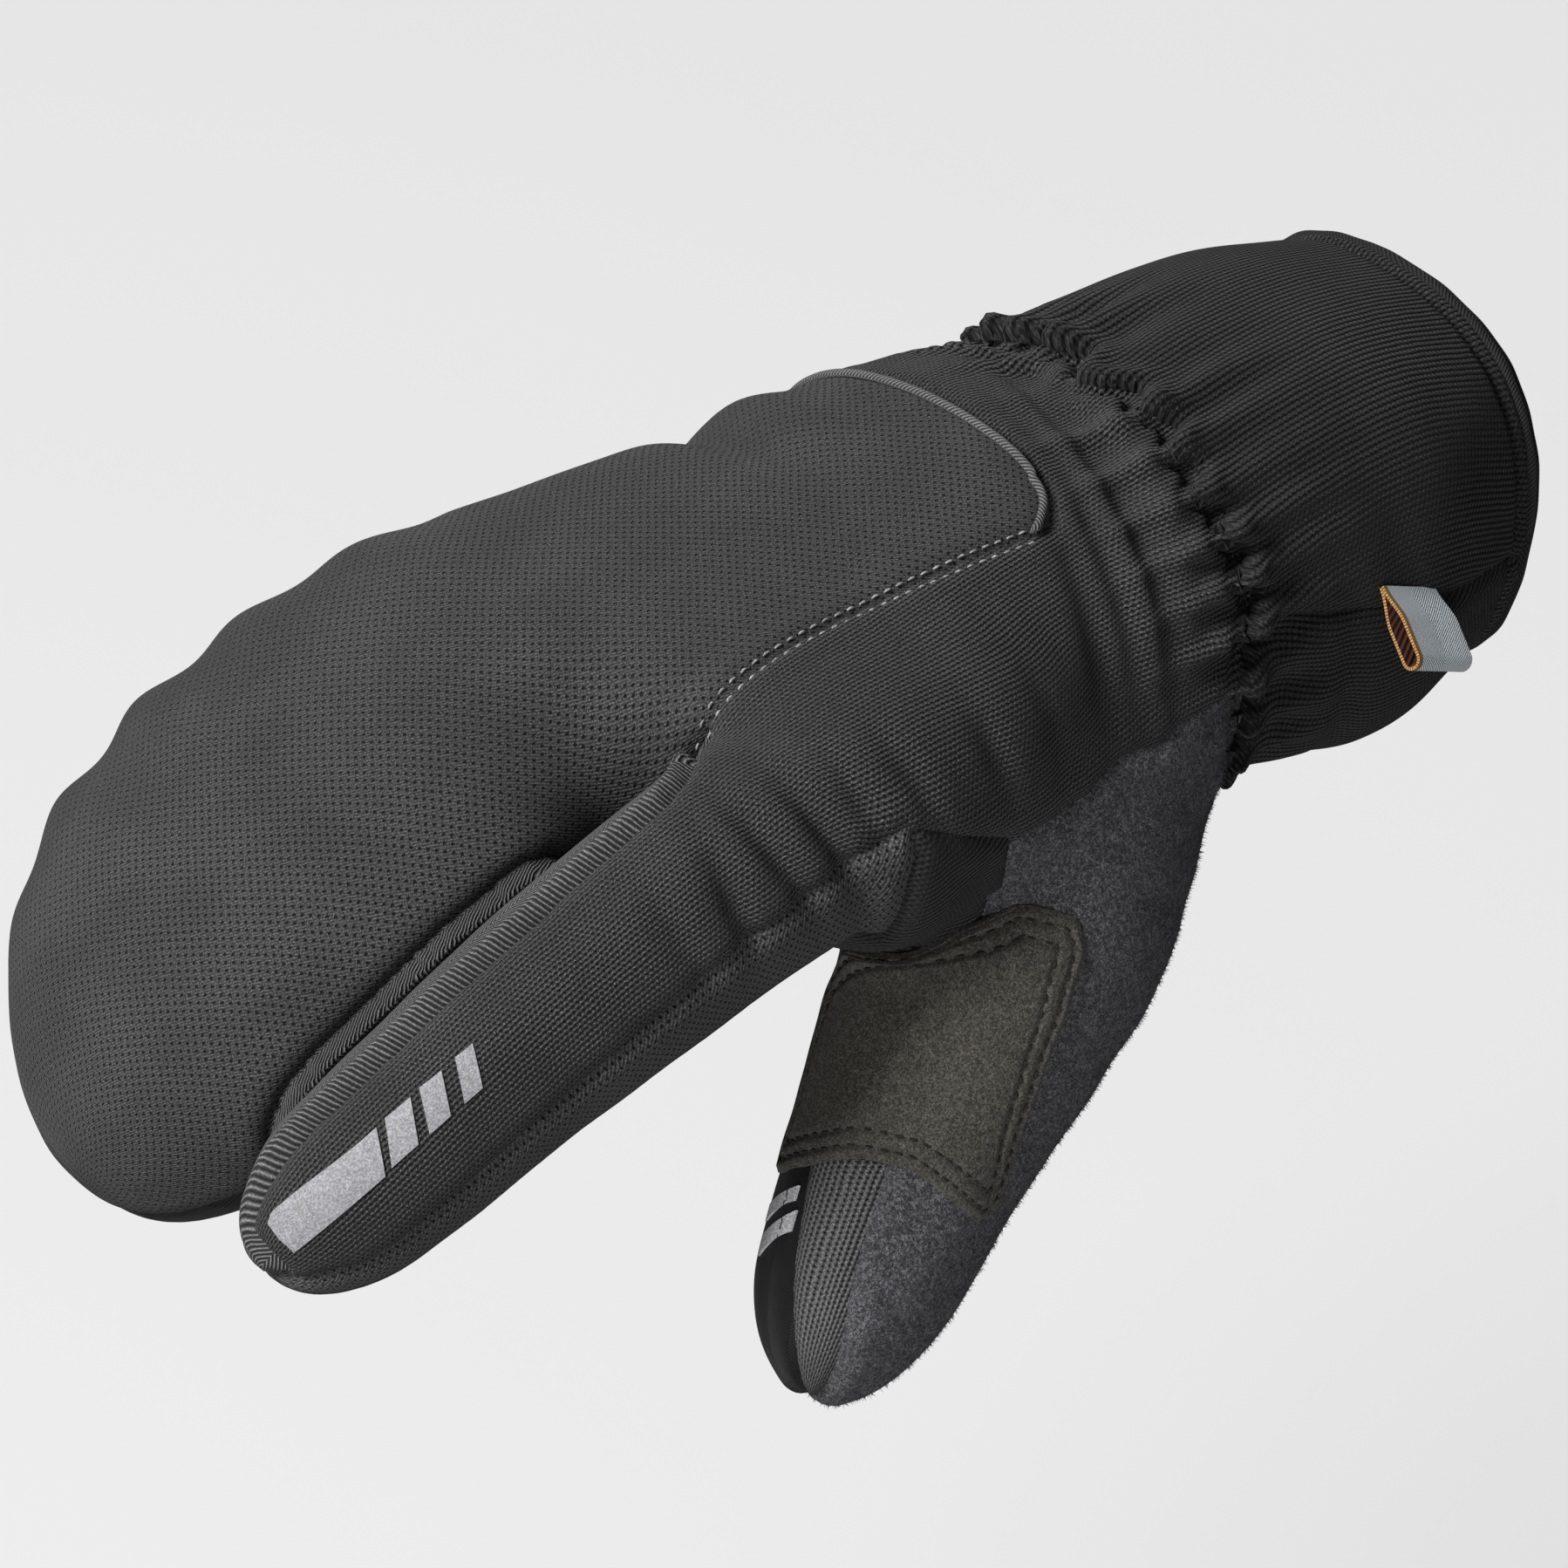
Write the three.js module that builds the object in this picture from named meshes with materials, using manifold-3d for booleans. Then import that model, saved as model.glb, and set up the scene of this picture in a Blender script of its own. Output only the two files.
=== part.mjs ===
// A winter lobster claw mitt for the right hand: one pouch for three fingers, a separate
// index finger and thumb, and a ribbed cuff gathered at the wrist. It is sewn from panels,
// and each panel is a hollow piece of wall cut out of the whole form along its seams.
//
// Frame, in millimetres: the origin is the middle of the gathered wrist. The fingers reach
// towards -X, the thumb side faces -Y, and the back of the hand faces +Z.

import * as THREE from 'three';
import { mergeVertices } from 'three/addons/utils/BufferGeometryUtils.js';
import Module from 'manifold-3d';

const manifold = await Module();
manifold.setup();

// Driving sizes

const handLength = 196;      // wrist to pouch tip, along the bend of the fingers
const handWidth = 104;       // across the knuckles
const handDepth = 54;        // back to palm at the knuckles
const cuffLength = 59;       // wrist to rim
const cuffWidth = 83;
const cuffDepth = 79;
const indexLength = 120;     // knuckle to tip
const indexWidth = 36;
const indexDepth = 35;
const thumbLength = 116;     // root inside the palm to tip
const thumbWidth = 50;
const thumbDepth = 49;
const wall = 4;              // shell, padding and lining together
const seamGap = 0.36;        // between two panels at a seam
const seatGap = 0.3;         // under a piece that is sewn or printed on a panel
const foldDepth = 1.5;       // usual depth of a fold
const pleatDepth = 1.5;      // half height of the pleats at the wrist
const pleatCount = 24;
const patchThickness = 1.2;
const patchLift = 0.9;       // under the patch, which bridges the thumb's round
const stripeThickness = 0.6;
const pipingThickness = 1.5;
const bindingThickness = 3;
const labelWidth = 13;
const labelDrop = 15;
const labelCloth = 0.9;
const labelOpening = 2.6;    // between the two leaves of the folded label
const labelSlope = -0.6;     // radians below the level
const labelTilt = -0.4;      // radians, as the seam runs

const halfGap = seamGap / 2;

// Fineness of the mesh

const pointsPerPleat = 3;
const plainPoints = 30;      // round the hand and the cuff beyond the pleats
const fingerPoints = 18;     // round a finger
const liningPoints = 16;     // round the hollow
const tipFloor = 0.06;       // a tip ends in a small flat of this share of its section
const far = 400;             // beyond every edge of the mitt

const radians = THREE.MathUtils.degToRad;

// Turns the rows of a table into objects with the names of its columns.
function table(columns, rows) {
  return rows.map((row) => Object.fromEntries(columns.map((name, i) => [name, row[i]])));
}

// Sections of the mitt. Stations are shares of the length, side sizes are shares of the
// width, and back and palm sizes are shares of the depth. The bend is in degrees.
const sectionColumns = ['at', 'bend', 'thumbSide', 'littleSide', 'back', 'palm'];

const cuffSections = table(sectionColumns, [
  [-1.00, -6, 0.43, 0.42, 0.42, 0.46],
  [-0.55, -5, 0.52, 0.49, 0.47, 0.53],
  [-0.20, -3, 0.50, 0.50, 0.45, 0.49],
]);

const handSections = table(sectionColumns, [
  [0.01, -1, 0.375, 0.395, 0.615, 0.64],
  [0.08, 1, 0.385, 0.465, 0.635, 0.58],
  [0.17, 2, 0.385, 0.515, 0.610, 0.53],
  [0.31, 4, 0.413, 0.615, 0.545, 0.48],
  [0.425, 7, 0.375, 0.690, 0.510, 0.45],
  [0.485, 10, 0.075, 0.715, 0.495, 0.43],
  [0.60, 18, 0.060, 0.755, 0.465, 0.41],
  [0.75, 26, 0.050, 0.755, 0.420, 0.39],
  [0.89, 32, 0.045, 0.670, 0.385, 0.37],
  [1.00, 34, 0.030, 0.545, 0.340, 0.33],
]);

const indexSections = table(sectionColumns, [
  [-0.25, 0, 0.39, 0.39, 0.46, 0.46],
  [0.00, 4, 0.50, 0.44, 0.52, 0.49],
  [0.25, 15, 0.50, 0.42, 0.50, 0.49],
  [0.58, 23, 0.46, 0.42, 0.44, 0.44],
  [1.00, 26, 0.35, 0.35, 0.35, 0.36],
]);

const thumbSections = table(sectionColumns, [
  [-0.08, 0, 0.40, 0.40, 0.37, 0.29],
  [0.00, 0, 0.48, 0.48, 0.45, 0.37],
  [0.30, 0, 0.50, 0.50, 0.56, 0.43],
  [0.60, 0, 0.40, 0.40, 0.41, 0.37],
  [1.00, 0, 0.28, 0.28, 0.25, 0.29],
]);

// Folds and dents. Stations and widths are shares of the form's length, around and spread
// are degrees, lean is the share of the length that the fold shifts over a right angle, and
// depth is a share of foldDepth, above nought for a crease and below it for a swelling.
const foldColumns = ['at', 'around', 'lean', 'width', 'spread', 'depth'];

const handFolds = table(foldColumns, [
  [0.075, 55, -0.055, 0.014, 55, 0.8],
  [0.115, 50, -0.070, 0.016, 45, 0.7],
  [0.190, 150, 0, 0.022, 40, -1.3],
  [0.245, 140, 0, 0.020, 45, 1.9],
  [0.235, 20, 0, 0.014, 30, 0.9],
  [-0.090, -20, 0.060, 0.016, 30, 0.9],
]);

const indexFolds = table(foldColumns, [
  [0.015, 35, 0.030, 0.022, 40, 0.9],
  [0.130, 40, 0.020, 0.022, 42, 1.0],
  [0.205, 45, 0.020, 0.022, 42, 1.0],
  [0.280, 35, -0.030, 0.022, 38, 0.9],
]);

const thumbFolds = table(foldColumns, [
  [0.300, 160, 0, 0.050, 40, 0.8],
  [0.560, 150, 0, 0.040, 40, 0.4],
]);

// Scallops along the little finger's side of the pouch
const scallops = { from: 0.42, to: 0.92, count: 5, around: 175, spread: 55, depth: 0.8 };

// Interpolation and forms

// Smooth curve through the values of one column, with slopes weighted by the step lengths.
function smoothColumn(sections, column) {
  const at = sections.map((row) => row.at);
  const value = sections.map((row) => row[column]);
  const step = at.slice(1).map((x, i) => x - at[i]);
  const rise = step.map((h, i) => (value[i + 1] - value[i]) / h);
  const slope = at.map((_, i) => {
    if (i === 0) return rise[0];
    if (i === at.length - 1) return rise[i - 1];
    return (rise[i - 1] * step[i] + rise[i] * step[i - 1]) / (step[i - 1] + step[i]);
  });
  return (x) => {
    let i = at.findLastIndex((station) => station <= x);
    i = THREE.MathUtils.clamp(i, 0, step.length - 1);
    const t = (x - at[i]) / step[i];
    const s = 1 - t;
    return (1 + 2 * t) * s * s * value[i] + t * s * s * step[i] * slope[i]
      + t * t * (3 - 2 * t) * value[i + 1] - t * t * s * step[i] * slope[i + 1];
  };
}

// Sections whose shares are turned into millimetres.
function sized(sections, length, width, depth) {
  return sections.map((row) => ({
    at: row.at * length,
    bend: row.bend,
    thumbSide: row.thumbSide * width,
    littleSide: row.littleSide * width,
    back: row.back * depth,
    palm: row.palm * depth,
  }));
}

function sizedFolds(folds, length) {
  return folds.map((row) => ({
    at: row.at * length,
    around: row.around,
    lean: row.lean * length,
    width: row.width * length,
    spread: row.spread,
    depth: row.depth * foldDepth,
  }));
}

// Difference of two angles in degrees, from -180 to 180.
function angleBetween(a, b) {
  return THREE.MathUtils.euclideanModulo(a - b + 180, 360) - 180;
}

const bell = (x) => Math.exp(-x * x);

// One tube of the mitt: its spine runs from start along forward and bends towards the palm,
// and its sections are rounded ovals. At each station around is 0 towards the thumb side,
// 90 towards the back, 180 towards the little finger and 270 towards the palm.
class Tube {
  constructor({ start, forward, up, sections, folds, tipLength, squareness, ripple }) {
    this.forward = forward.clone().normalize();
    this.up = up.clone().addScaledVector(this.forward, -up.dot(this.forward)).normalize();
    this.side = new THREE.Vector3().crossVectors(this.up, this.forward);
    this.from = sections[0].at;
    this.to = sections.at(-1).at;
    this.folds = folds;
    this.tipLength = tipLength;
    this.squareness = squareness;
    this.ripple = ripple;
    this.column = Object.fromEntries(
      sectionColumns.slice(1).map((name) => [name, smoothColumn(sections, name)]),
    );
    this.traceSpine(start);
  }

  // Adds up short steps along the bending direction, with station 0 at the start point.
  traceSpine(start) {
    const steps = 240;
    this.step = (this.to - this.from) / steps;
    const point = new THREE.Vector3();
    this.spine = [point.clone()];
    for (let i = 0; i < steps; i += 1) {
      point.addScaledVector(this.axes(this.from + (i + 0.5) * this.step).along, this.step);
      this.spine.push(point.clone());
    }
    const shift = start.clone().sub(this.spinePoint(0));
    this.spine.forEach((p) => p.add(shift));
  }

  axes(at) {
    const bend = radians(this.column.bend(THREE.MathUtils.clamp(at, this.from, this.to)));
    const along = this.forward.clone().multiplyScalar(Math.cos(bend));
    along.addScaledVector(this.up, -Math.sin(bend));
    const back = this.forward.clone().multiplyScalar(Math.sin(bend));
    back.addScaledVector(this.up, Math.cos(bend));
    return { along, back };
  }

  spinePoint(at) {
    const place = (at - this.from) / this.step;
    const i = THREE.MathUtils.clamp(Math.floor(place), 0, this.spine.length - 2);
    return this.spine[i].clone().lerp(this.spine[i + 1], place - i);
  }

  // Depth of the folds at a point of the surface, above nought where it sinks.
  foldAt(at, around) {
    let depth = this.ripple ? this.ripple(at, around) : 0;
    for (const fold of this.folds) {
      const turn = angleBetween(around, fold.around);
      const offset = (at - fold.at - fold.lean * turn / 90) / fold.width;
      depth += fold.depth * bell(offset) * bell(turn / fold.spread);
    }
    return depth;
  }

  // Half sizes of the section, grown by an offset, and rounded off towards the tip. Where the
  // form narrows suddenly, a hollow inside it turns one wall before its skin does.
  section(at, offset) {
    const end = this.to + offset;
    const ahead = Math.min(at + Math.max(-offset, 0), this.to);
    const t = THREE.MathUtils.clamp((at - end + this.tipLength) / this.tipLength, 0, 1);
    const round = Math.max((1 - t ** this.squareness) ** (1 / this.squareness), tipFloor);
    const side = this.column.thumbSide;
    const thumbSide = Math.min(side(at), side(ahead)) + offset;
    const littleSide = this.column.littleSide(at) + offset;
    return {
      middle: (thumbSide - littleSide) / 2,
      halfWidth: (thumbSide + littleSide) / 2 * round,
      back: (this.column.back(at) + offset) * round,
      palm: (this.column.palm(at) + offset) * round,
      round,
    };
  }

  // Point of the surface grown by an offset, with its folds or without them.
  point(at, around, offset = 0, folded = true) {
    const { middle, halfWidth, back, palm, round } = this.section(at, offset);
    const turn = radians(around);
    const power = 2 / this.squareness;
    const across = Math.sign(Math.cos(turn)) * Math.abs(Math.cos(turn)) ** power;
    const height = Math.sign(Math.sin(turn)) * Math.abs(Math.sin(turn)) ** power;
    const sunk = folded ? this.foldAt(at, around) * round : 0;
    const { back: up } = this.axes(at);
    return this.spinePoint(at)
      .addScaledVector(this.side, middle + (halfWidth - sunk) * across)
      .addScaledVector(up, ((height > 0 ? back : palm) - sunk) * height);
  }

  // Angle at which the back of a section lies so far towards the thumb side.
  backAngle(at, thumbward) {
    const { middle, halfWidth } = this.section(at, 0);
    const across = THREE.MathUtils.clamp((thumbward - middle) / halfWidth, -1, 1);
    const cosine = Math.sign(across) * Math.abs(across) ** (this.squareness / 2);
    return THREE.MathUtils.radToDeg(Math.acos(cosine));
  }
}

// Point of the mitt's frame from reach, thumbward and dorsal distances.
const place = (reach, thumbward, dorsal) => new THREE.Vector3(-reach, -thumbward, dorsal);

// Pleats that the wrist elastic draws up: strongest at the gather, fading into cuff and hand
const pleatFade = { cuff: 0.26 * cuffLength, hand: 0.055 * handLength };

function handRipple(at, around) {
  const fade = bell(at / (at < 0 ? pleatFade.cuff : pleatFade.hand));
  const pleats = -pleatDepth * fade * Math.cos(radians(around * pleatCount));
  const { from, to, count, depth } = scallops;
  const share = (at / handLength - from) / (to - from);
  const inside = share > 0 && share < 1 ? Math.sin(Math.PI * share) ** 0.5 : 0;
  const wave = Math.sin(2 * Math.PI * count * share);
  const window = bell(angleBetween(around, scallops.around) / scallops.spread);
  return pleats + foldDepth * depth * inside * wave * window;
}

const hand = new Tube({
  start: place(0, 0, 0),
  forward: place(1, 0, 0),
  up: place(0, 0, 1),
  sections: [
    ...sized(cuffSections, cuffLength, cuffWidth, cuffDepth),
    ...sized(handSections, handLength, handWidth, handDepth),
  ],
  folds: sizedFolds(handFolds, handLength),
  ripple: handRipple,
  tipLength: 0.215 * handLength,
  squareness: 2.4,
});

const indexReach = 0.357 * handLength;
const index = new Tube({
  start: place(indexReach, 0.25 * handWidth, 0.093 * handDepth),
  forward: place(0.998, -0.06, 0),
  up: place(0, 0, 1),
  sections: sized(indexSections, indexLength, indexWidth, indexDepth),
  folds: sizedFolds(indexFolds, indexLength),
  tipLength: 0.17 * indexLength,
  squareness: 2.3,
});

const thumb = new Tube({
  start: place(0.117 * handLength, 0.173 * handWidth, -0.222 * handDepth),
  forward: place(0.70, 0.27, -0.66),
  up: place(-0.36, 0.93, 0.01),
  sections: sized(thumbSections, thumbLength, thumbWidth, thumbDepth),
  folds: sizedFolds(thumbFolds, thumbLength),
  tipLength: 0.207 * thumbLength,
  squareness: 2.3,
});

// Meshes and solids

// Closed skin over a row of rings, which may differ in their number of points. Each end is
// closed by a fan from the ring's first point, or from its middle.
function skin(rings, fanFromMiddle) {
  const points = rings.flat();
  const base = [0];
  rings.forEach((ring) => base.push(base.at(-1) + ring.length));
  const triangles = [];
  for (let i = 0; i + 1 < rings.length; i += 1) {
    const near = rings[i].length;
    const next = rings[i + 1].length;
    let j = 0;
    let k = 0;
    while (j < near || k < next) {
      const a = base[i] + j % near;
      const b = base[i + 1] + k % next;
      if ((j + 1) * next <= (k + 1) * near) {
        j += 1;
        triangles.push(a, base[i] + j % near, b);
      } else {
        k += 1;
        triangles.push(a, base[i + 1] + k % next, b);
      }
    }
  }
  for (const [ring, turned] of [[0, true], [rings.length - 1, false]]) {
    const count = rings[ring].length;
    const hub = fanFromMiddle ? points.length : base[ring];
    if (fanFromMiddle) {
      const middle = new THREE.Vector3();
      rings[ring].forEach((p) => middle.addScaledVector(p, 1 / count));
      points.push(middle);
    }
    for (let j = 0; j < count; j += 1) {
      const a = base[ring] + j;
      const b = base[ring] + (j + 1) % count;
      if (a === hub || b === hub) continue;
      triangles.push(hub, ...(turned ? [b, a] : [a, b]));
    }
  }
  return geometryOf(points, triangles);
}

function geometryOf(points, triangles) {
  const geometry = new THREE.BufferGeometry();
  geometry.setAttribute('position', new THREE.Float32BufferAttribute(
    points.flatMap((p) => [p.x, p.y, p.z]), 3));
  geometry.setIndex(triangles);
  if (volumeOf(geometry) < 0) {
    const index = geometry.index.array;
    for (let i = 0; i < index.length; i += 3) {
      [index[i + 1], index[i + 2]] = [index[i + 2], index[i + 1]];
    }
  }
  return geometry;
}

// Signed volume of a closed mesh: above nought when its faces point outwards.
function volumeOf(geometry) {
  const position = geometry.attributes.position;
  const corner = (i) => new THREE.Vector3().fromBufferAttribute(position, geometry.index.getX(i));
  let volume = 0;
  for (let i = 0; i < geometry.index.count; i += 3) {
    volume += corner(i).dot(corner(i + 1).cross(corner(i + 2))) / 6;
  }
  return volume;
}

function solidOf(geometry) {
  const bare = geometry.clone();
  bare.deleteAttribute('normal');
  bare.deleteAttribute('uv');
  const merged = mergeVertices(bare);
  return new manifold.Manifold(new manifold.Mesh({
    numProp: 3,
    vertProperties: new Float32Array(merged.attributes.position.array),
    triVerts: new Uint32Array(merged.index.array),
  }));
}

const join = (solids) => solids.reduce((whole, solid) => whole.add(solid));
const within = (solid, regions) => regions.reduce((left, region) => left.intersect(region), solid);
const without = (solid, tools) => tools.reduce((left, tool) => left.subtract(tool), solid);

// Stations from one end to the other, closer together over the rounded tip.
function stationsOf(tube, from, to, step, offset = 0) {
  const tipStart = Math.min(tube.to + offset - tube.tipLength, to);
  const count = Math.max(Math.round((tipStart - from) / step), 1);
  const stations = [];
  for (let i = 0; i < count; i += 1) stations.push(from + (tipStart - from) * i / count);
  const tipSteps = Math.max(Math.round((to - tipStart) / step * 1.2), 1);
  for (let i = 0; i <= tipSteps; i += 1) {
    stations.push(tipStart + (to - tipStart) * Math.sin(Math.PI / 2 * i / tipSteps));
  }
  return stations.filter((at, i) => i === 0 || at > stations[i - 1]);
}

// Full tube through its stations, with so many points round each of them.
function tubeSolid(tube, stations, countAt, offset, folded) {
  const rings = stations.map((at) => Array.from({ length: countAt(at) }, (_, j) => (
    tube.point(at, j * 360 / countAt(at), offset, folded)
  )));
  return solidOf(skin(rings, true));
}

// Slice of a tube between two seams, from its spine to its surface. A seam is a function
// that gives the angle at a station, and the slice keeps clear of it by half a seam's gap.
// Grown by an offset, or spread over its seams by a margin, it comes nearer or goes beyond.
function sliceSolid(tube, stations, fromSeam, toSeam, offset = 0, margin = 0) {
  const middle = (stations[0] + stations.at(-1)) / 2;
  const arc = toSeam(middle) - fromSeam(middle);
  const count = Math.max(Math.round(fingerPoints * arc / 360), 3);
  const rings = stations.map((at) => {
    const { halfWidth, back } = tube.section(at, 0);
    const radius = (halfWidth + back) / 2;
    const clear = THREE.MathUtils.radToDeg((halfGap - offset - margin) / radius);
    const start = fromSeam(at) + clear;
    const end = toSeam(at) - clear;
    const centre = tube.point(at, 90, 0, false).lerp(tube.point(at, 270, 0, false), 0.5);
    const arcPoints = Array.from({ length: count + 1 }, (_, j) => (
      tube.point(at, start + (end - start) * j / count, offset)
    ));
    return [centre, ...arcPoints];
  });
  return solidOf(skin(rings, false));
}

// Thin piece that lies on a tube. Each row runs from one corner to another, and a corner is
// a station and an angle. What the piece lies on is cut away with a clearance afterwards.
function overlay(tube, rows, columns, thickness) {
  const layer = ({ from, to }, offset) => Array.from({ length: columns + 1 }, (_, j) => {
    const share = j / columns;
    const at = from.at + (to.at - from.at) * share;
    return tube.point(at, from.around + (to.around - from.around) * share, offset);
  });
  return solidOf(skin(rows.map((row) => [
    ...layer(row, row.lift ?? 0),
    ...layer(row, (row.lift ?? 0) + thickness).reverse(),
  ]), false));
}

// Upright block over an outline of reach and thumbward distances.
function planBlock(outline) {
  const shape = new THREE.Shape(outline.map(([reach, thumbward]) => (
    new THREE.Vector2(-reach, -thumbward)
  )));
  const block = new THREE.ExtrudeGeometry(shape, { depth: 2 * far, bevelEnabled: false });
  block.translate(0, 0, -far);
  return solidOf(block);
}

// Block across the mitt over an outline of reach and dorsal distances.
function sideBlock(outline) {
  const shape = new THREE.Shape(outline.map(([reach, dorsal]) => (
    new THREE.Vector2(-reach, dorsal)
  )));
  const block = new THREE.ExtrudeGeometry(shape, { depth: 2 * far, bevelEnabled: false });
  block.translate(0, 0, -far);
  block.rotateX(Math.PI / 2);
  return solidOf(block);
}

// Largest closed part of a solid, as a mesh: crumbs of cloth left by the cuts are swept away.
function largestPart(solid) {
  const { vertProperties, triVerts, numProp } = solid.getMesh();
  const parent = Array.from({ length: vertProperties.length / numProp }, (_, i) => i);
  const root = (i) => {
    while (parent[i] !== i) {
      parent[i] = parent[parent[i]];
      i = parent[i];
    }
    return i;
  };
  for (let i = 0; i < triVerts.length; i += 3) {
    parent[root(triVerts[i])] = root(triVerts[i + 1]);
    parent[root(triVerts[i + 1])] = root(triVerts[i + 2]);
  }
  const faces = new Map();
  for (let i = 0; i < triVerts.length; i += 3) {
    const key = root(triVerts[i]);
    if (!faces.has(key)) faces.set(key, []);
    faces.get(key).push(triVerts[i], triVerts[i + 1], triVerts[i + 2]);
  }
  const points = parent.map((_, i) => (
    new THREE.Vector3().fromArray(vertProperties, i * numProp)
  ));
  const parts = [...faces.values()].map((triangles) => {
    const used = [...new Set(triangles)];
    const renumber = new Map(used.map((old, i) => [old, i]));
    return geometryOf(used.map((i) => points[i]), triangles.map((i) => renumber.get(i)));
  });
  return parts.reduce((best, part) => (volumeOf(part) > volumeOf(best) ? part : best));
}

// Seams

// The gather at the wrist runs slightly towards the fingers on the thumb side.
const gatherReach = (thumbward) => 0.006 * handLength + 0.09 * thumbward;

const cuffPlan = (clear) => planBlock([
  [-far, -far],
  [gatherReach(-far) - clear, -far],
  [gatherReach(far) - clear, far],
  [-far, far],
]);
const handPlan = (clear) => planBlock([
  [far, -far],
  [far, far],
  [gatherReach(far) + clear, far],
  [gatherReach(-far) + clear, -far],
]);

// Side seam, level with the spine: it drops under the thumb side and rises over the cuff.
const sideSeam = table(['at', 'lift'], [
  [-1.30 * cuffLength, -0.10 * cuffDepth],
  [-0.60 * cuffLength, 0.00 * cuffDepth],
  [0.00 * handLength, 0.10 * cuffDepth],
  [0.05 * handLength, -0.02 * handDepth],
  [0.30 * handLength, -0.03 * handDepth],
  [0.50 * handLength, -0.03 * handDepth],
  [0.60 * handLength, -0.03 * handDepth],
  [0.70 * handLength, -0.03 * handDepth],
  [0.80 * handLength, -0.03 * handDepth],
  [0.90 * handLength, -0.03 * handDepth],
  [1.00 * handLength, -0.03 * handDepth],
]);

// Line of reach and dorsal distances along the spine, shifted towards the back.
function seamLine(rows, shift) {
  const line = rows.map(({ at, lift }) => {
    const { back } = hand.axes(at);
    const point = hand.spinePoint(at).addScaledVector(back, lift + shift);
    return [-point.x, point.z];
  });
  const { along } = hand.axes(handLength);
  const [reach, dorsal] = line.at(-1);
  line.push([reach - along.x * handDepth, dorsal + along.z * handDepth]);
  return line;
}
const overSeam = (rows, shift) => sideBlock([
  ...seamLine(rows, shift), [far, -far], [far, far], [-far, far],
  [-far, seamLine(rows, shift)[0][1]],
]);
const underSeam = (rows, shift) => sideBlock([
  ...seamLine(rows, shift), [far, -far], [-far, -far], [-far, seamLine(rows, shift)[0][1]],
]);

// The back's curved seam: across the hand, round a corner, and along to the crotch beside
// the index finger. The pouch's edge goes on from there to the tip.
const cornerReach = 0.113 * handLength;
const cornerSide = 0.163 * handWidth;
const cornerRadius = 0.075 * handWidth;
const crotchReach = 0.475 * handLength;
const crotchSide = 0.115 * handWidth;

function cornerPoints(clear) {
  const steps = 5;
  return Array.from({ length: steps + 1 }, (_, i) => {
    const turn = Math.PI / 2 * i / steps;
    return [
      cornerReach + cornerRadius - (cornerRadius + clear) * Math.cos(turn),
      cornerSide - cornerRadius + (cornerRadius + clear) * Math.sin(turn),
    ];
  });
}

const pouchEdge = table(['reach', 'side'], [
  [0.49, 0.050],
  [0.52, 0.025],
  [0.61, 0.028],
  [0.70, 0.020],
  [0.90, 0.008],
]);
const pouchEdgePoints = (clear) => [
  [crotchReach, crotchSide + clear],
  ...pouchEdge.map(({ reach, side }) => [reach * handLength, side * handWidth + clear]),
  [far, clear],
];
const pouchPlan = (clear) => planBlock([
  [cornerReach - clear, -far],
  ...cornerPoints(clear),
  ...pouchEdgePoints(clear),
  [far, -far],
]);
const pouchSidePlan = (clear) => planBlock([
  ...pouchEdgePoints(-clear),
  [far, far],
  [crotchReach - clear, far],
]);

// The strip of the pouch that faces the index finger ends below the spine.
const stripSeam = sideSeam.map(({ at }) => ({ at, lift: -0.17 * handDepth }));

// Fleece on the side of the hand, from the wrist to the thumb
const fleecePlan = (clear) => planBlock([
  [-far, 0.21 * handWidth - clear],
  [0.297 * handLength + clear, 0.21 * handWidth - clear],
  [0.297 * handLength + clear, far],
  [-far, far],
]);

// The web between thumb and index finger rises from the side seam to the finger.
const webReach = { from: 0.297 * handLength, to: 0.44 * handLength };
const webPlan = (clear) => planBlock([
  [webReach.from - clear, 0.25 * handWidth - clear],
  [webReach.to + clear, 0.25 * handWidth - clear],
  [webReach.to + clear, far],
  [webReach.from - clear, far],
]);
const webSide = (clear) => sideBlock([
  [webReach.from - clear, -0.40 * handDepth - clear],
  [webReach.from - clear, -0.03 * handDepth + clear],
  [0.388 * handLength, 0.19 * handDepth + clear],
  [webReach.to + clear, 0.22 * handDepth + clear],
  [webReach.to + clear, -0.40 * handDepth - clear],
]);
const webRegion = (clear) => within(webPlan(clear), [webSide(clear)]);

// Seams along the index finger and the thumb: angles at stations, joined by straight lines.
function seamAngles(length, rows) {
  return (at) => {
    const share = at / length;
    const next = rows.findIndex(([station]) => station >= share);
    if (next === 0) return rows[0][1];
    if (next < 0) return rows.at(-1)[1];
    const [[s0, a0], [s1, a1]] = [rows[next - 1], rows[next]];
    return a0 + (a1 - a0) * (share - s0) / (s1 - s0);
  };
}

const indexSeams = {
  outer: seamAngles(indexLength, [[0.04, 18], [0.20, 9], [0.50, 4], [0.90, -4], [1, 0]]),
  inner: seamAngles(indexLength, [[0.30, 112], [0.55, 108], [0.65, 104], [0.75, 125], [1, 130]]),
  palmInner: seamAngles(indexLength, [[0.30, 205], [1, 210]]),
  palmOuter: seamAngles(indexLength, [[0.04, 318], [1, 322]]),
};
const thumbSeams = {
  palmOuter: seamAngles(thumbLength, [[0, -70], [1, -50]]),
  stripOuter: seamAngles(thumbLength, [[0.20, 165], [0.62, 168], [0.83, 162], [1, 140]]),
  stripInner: seamAngles(thumbLength, [[0.20, 215], [0.68, 208], [0.83, 196], [1, 180]]),
};

// Walls

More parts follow.
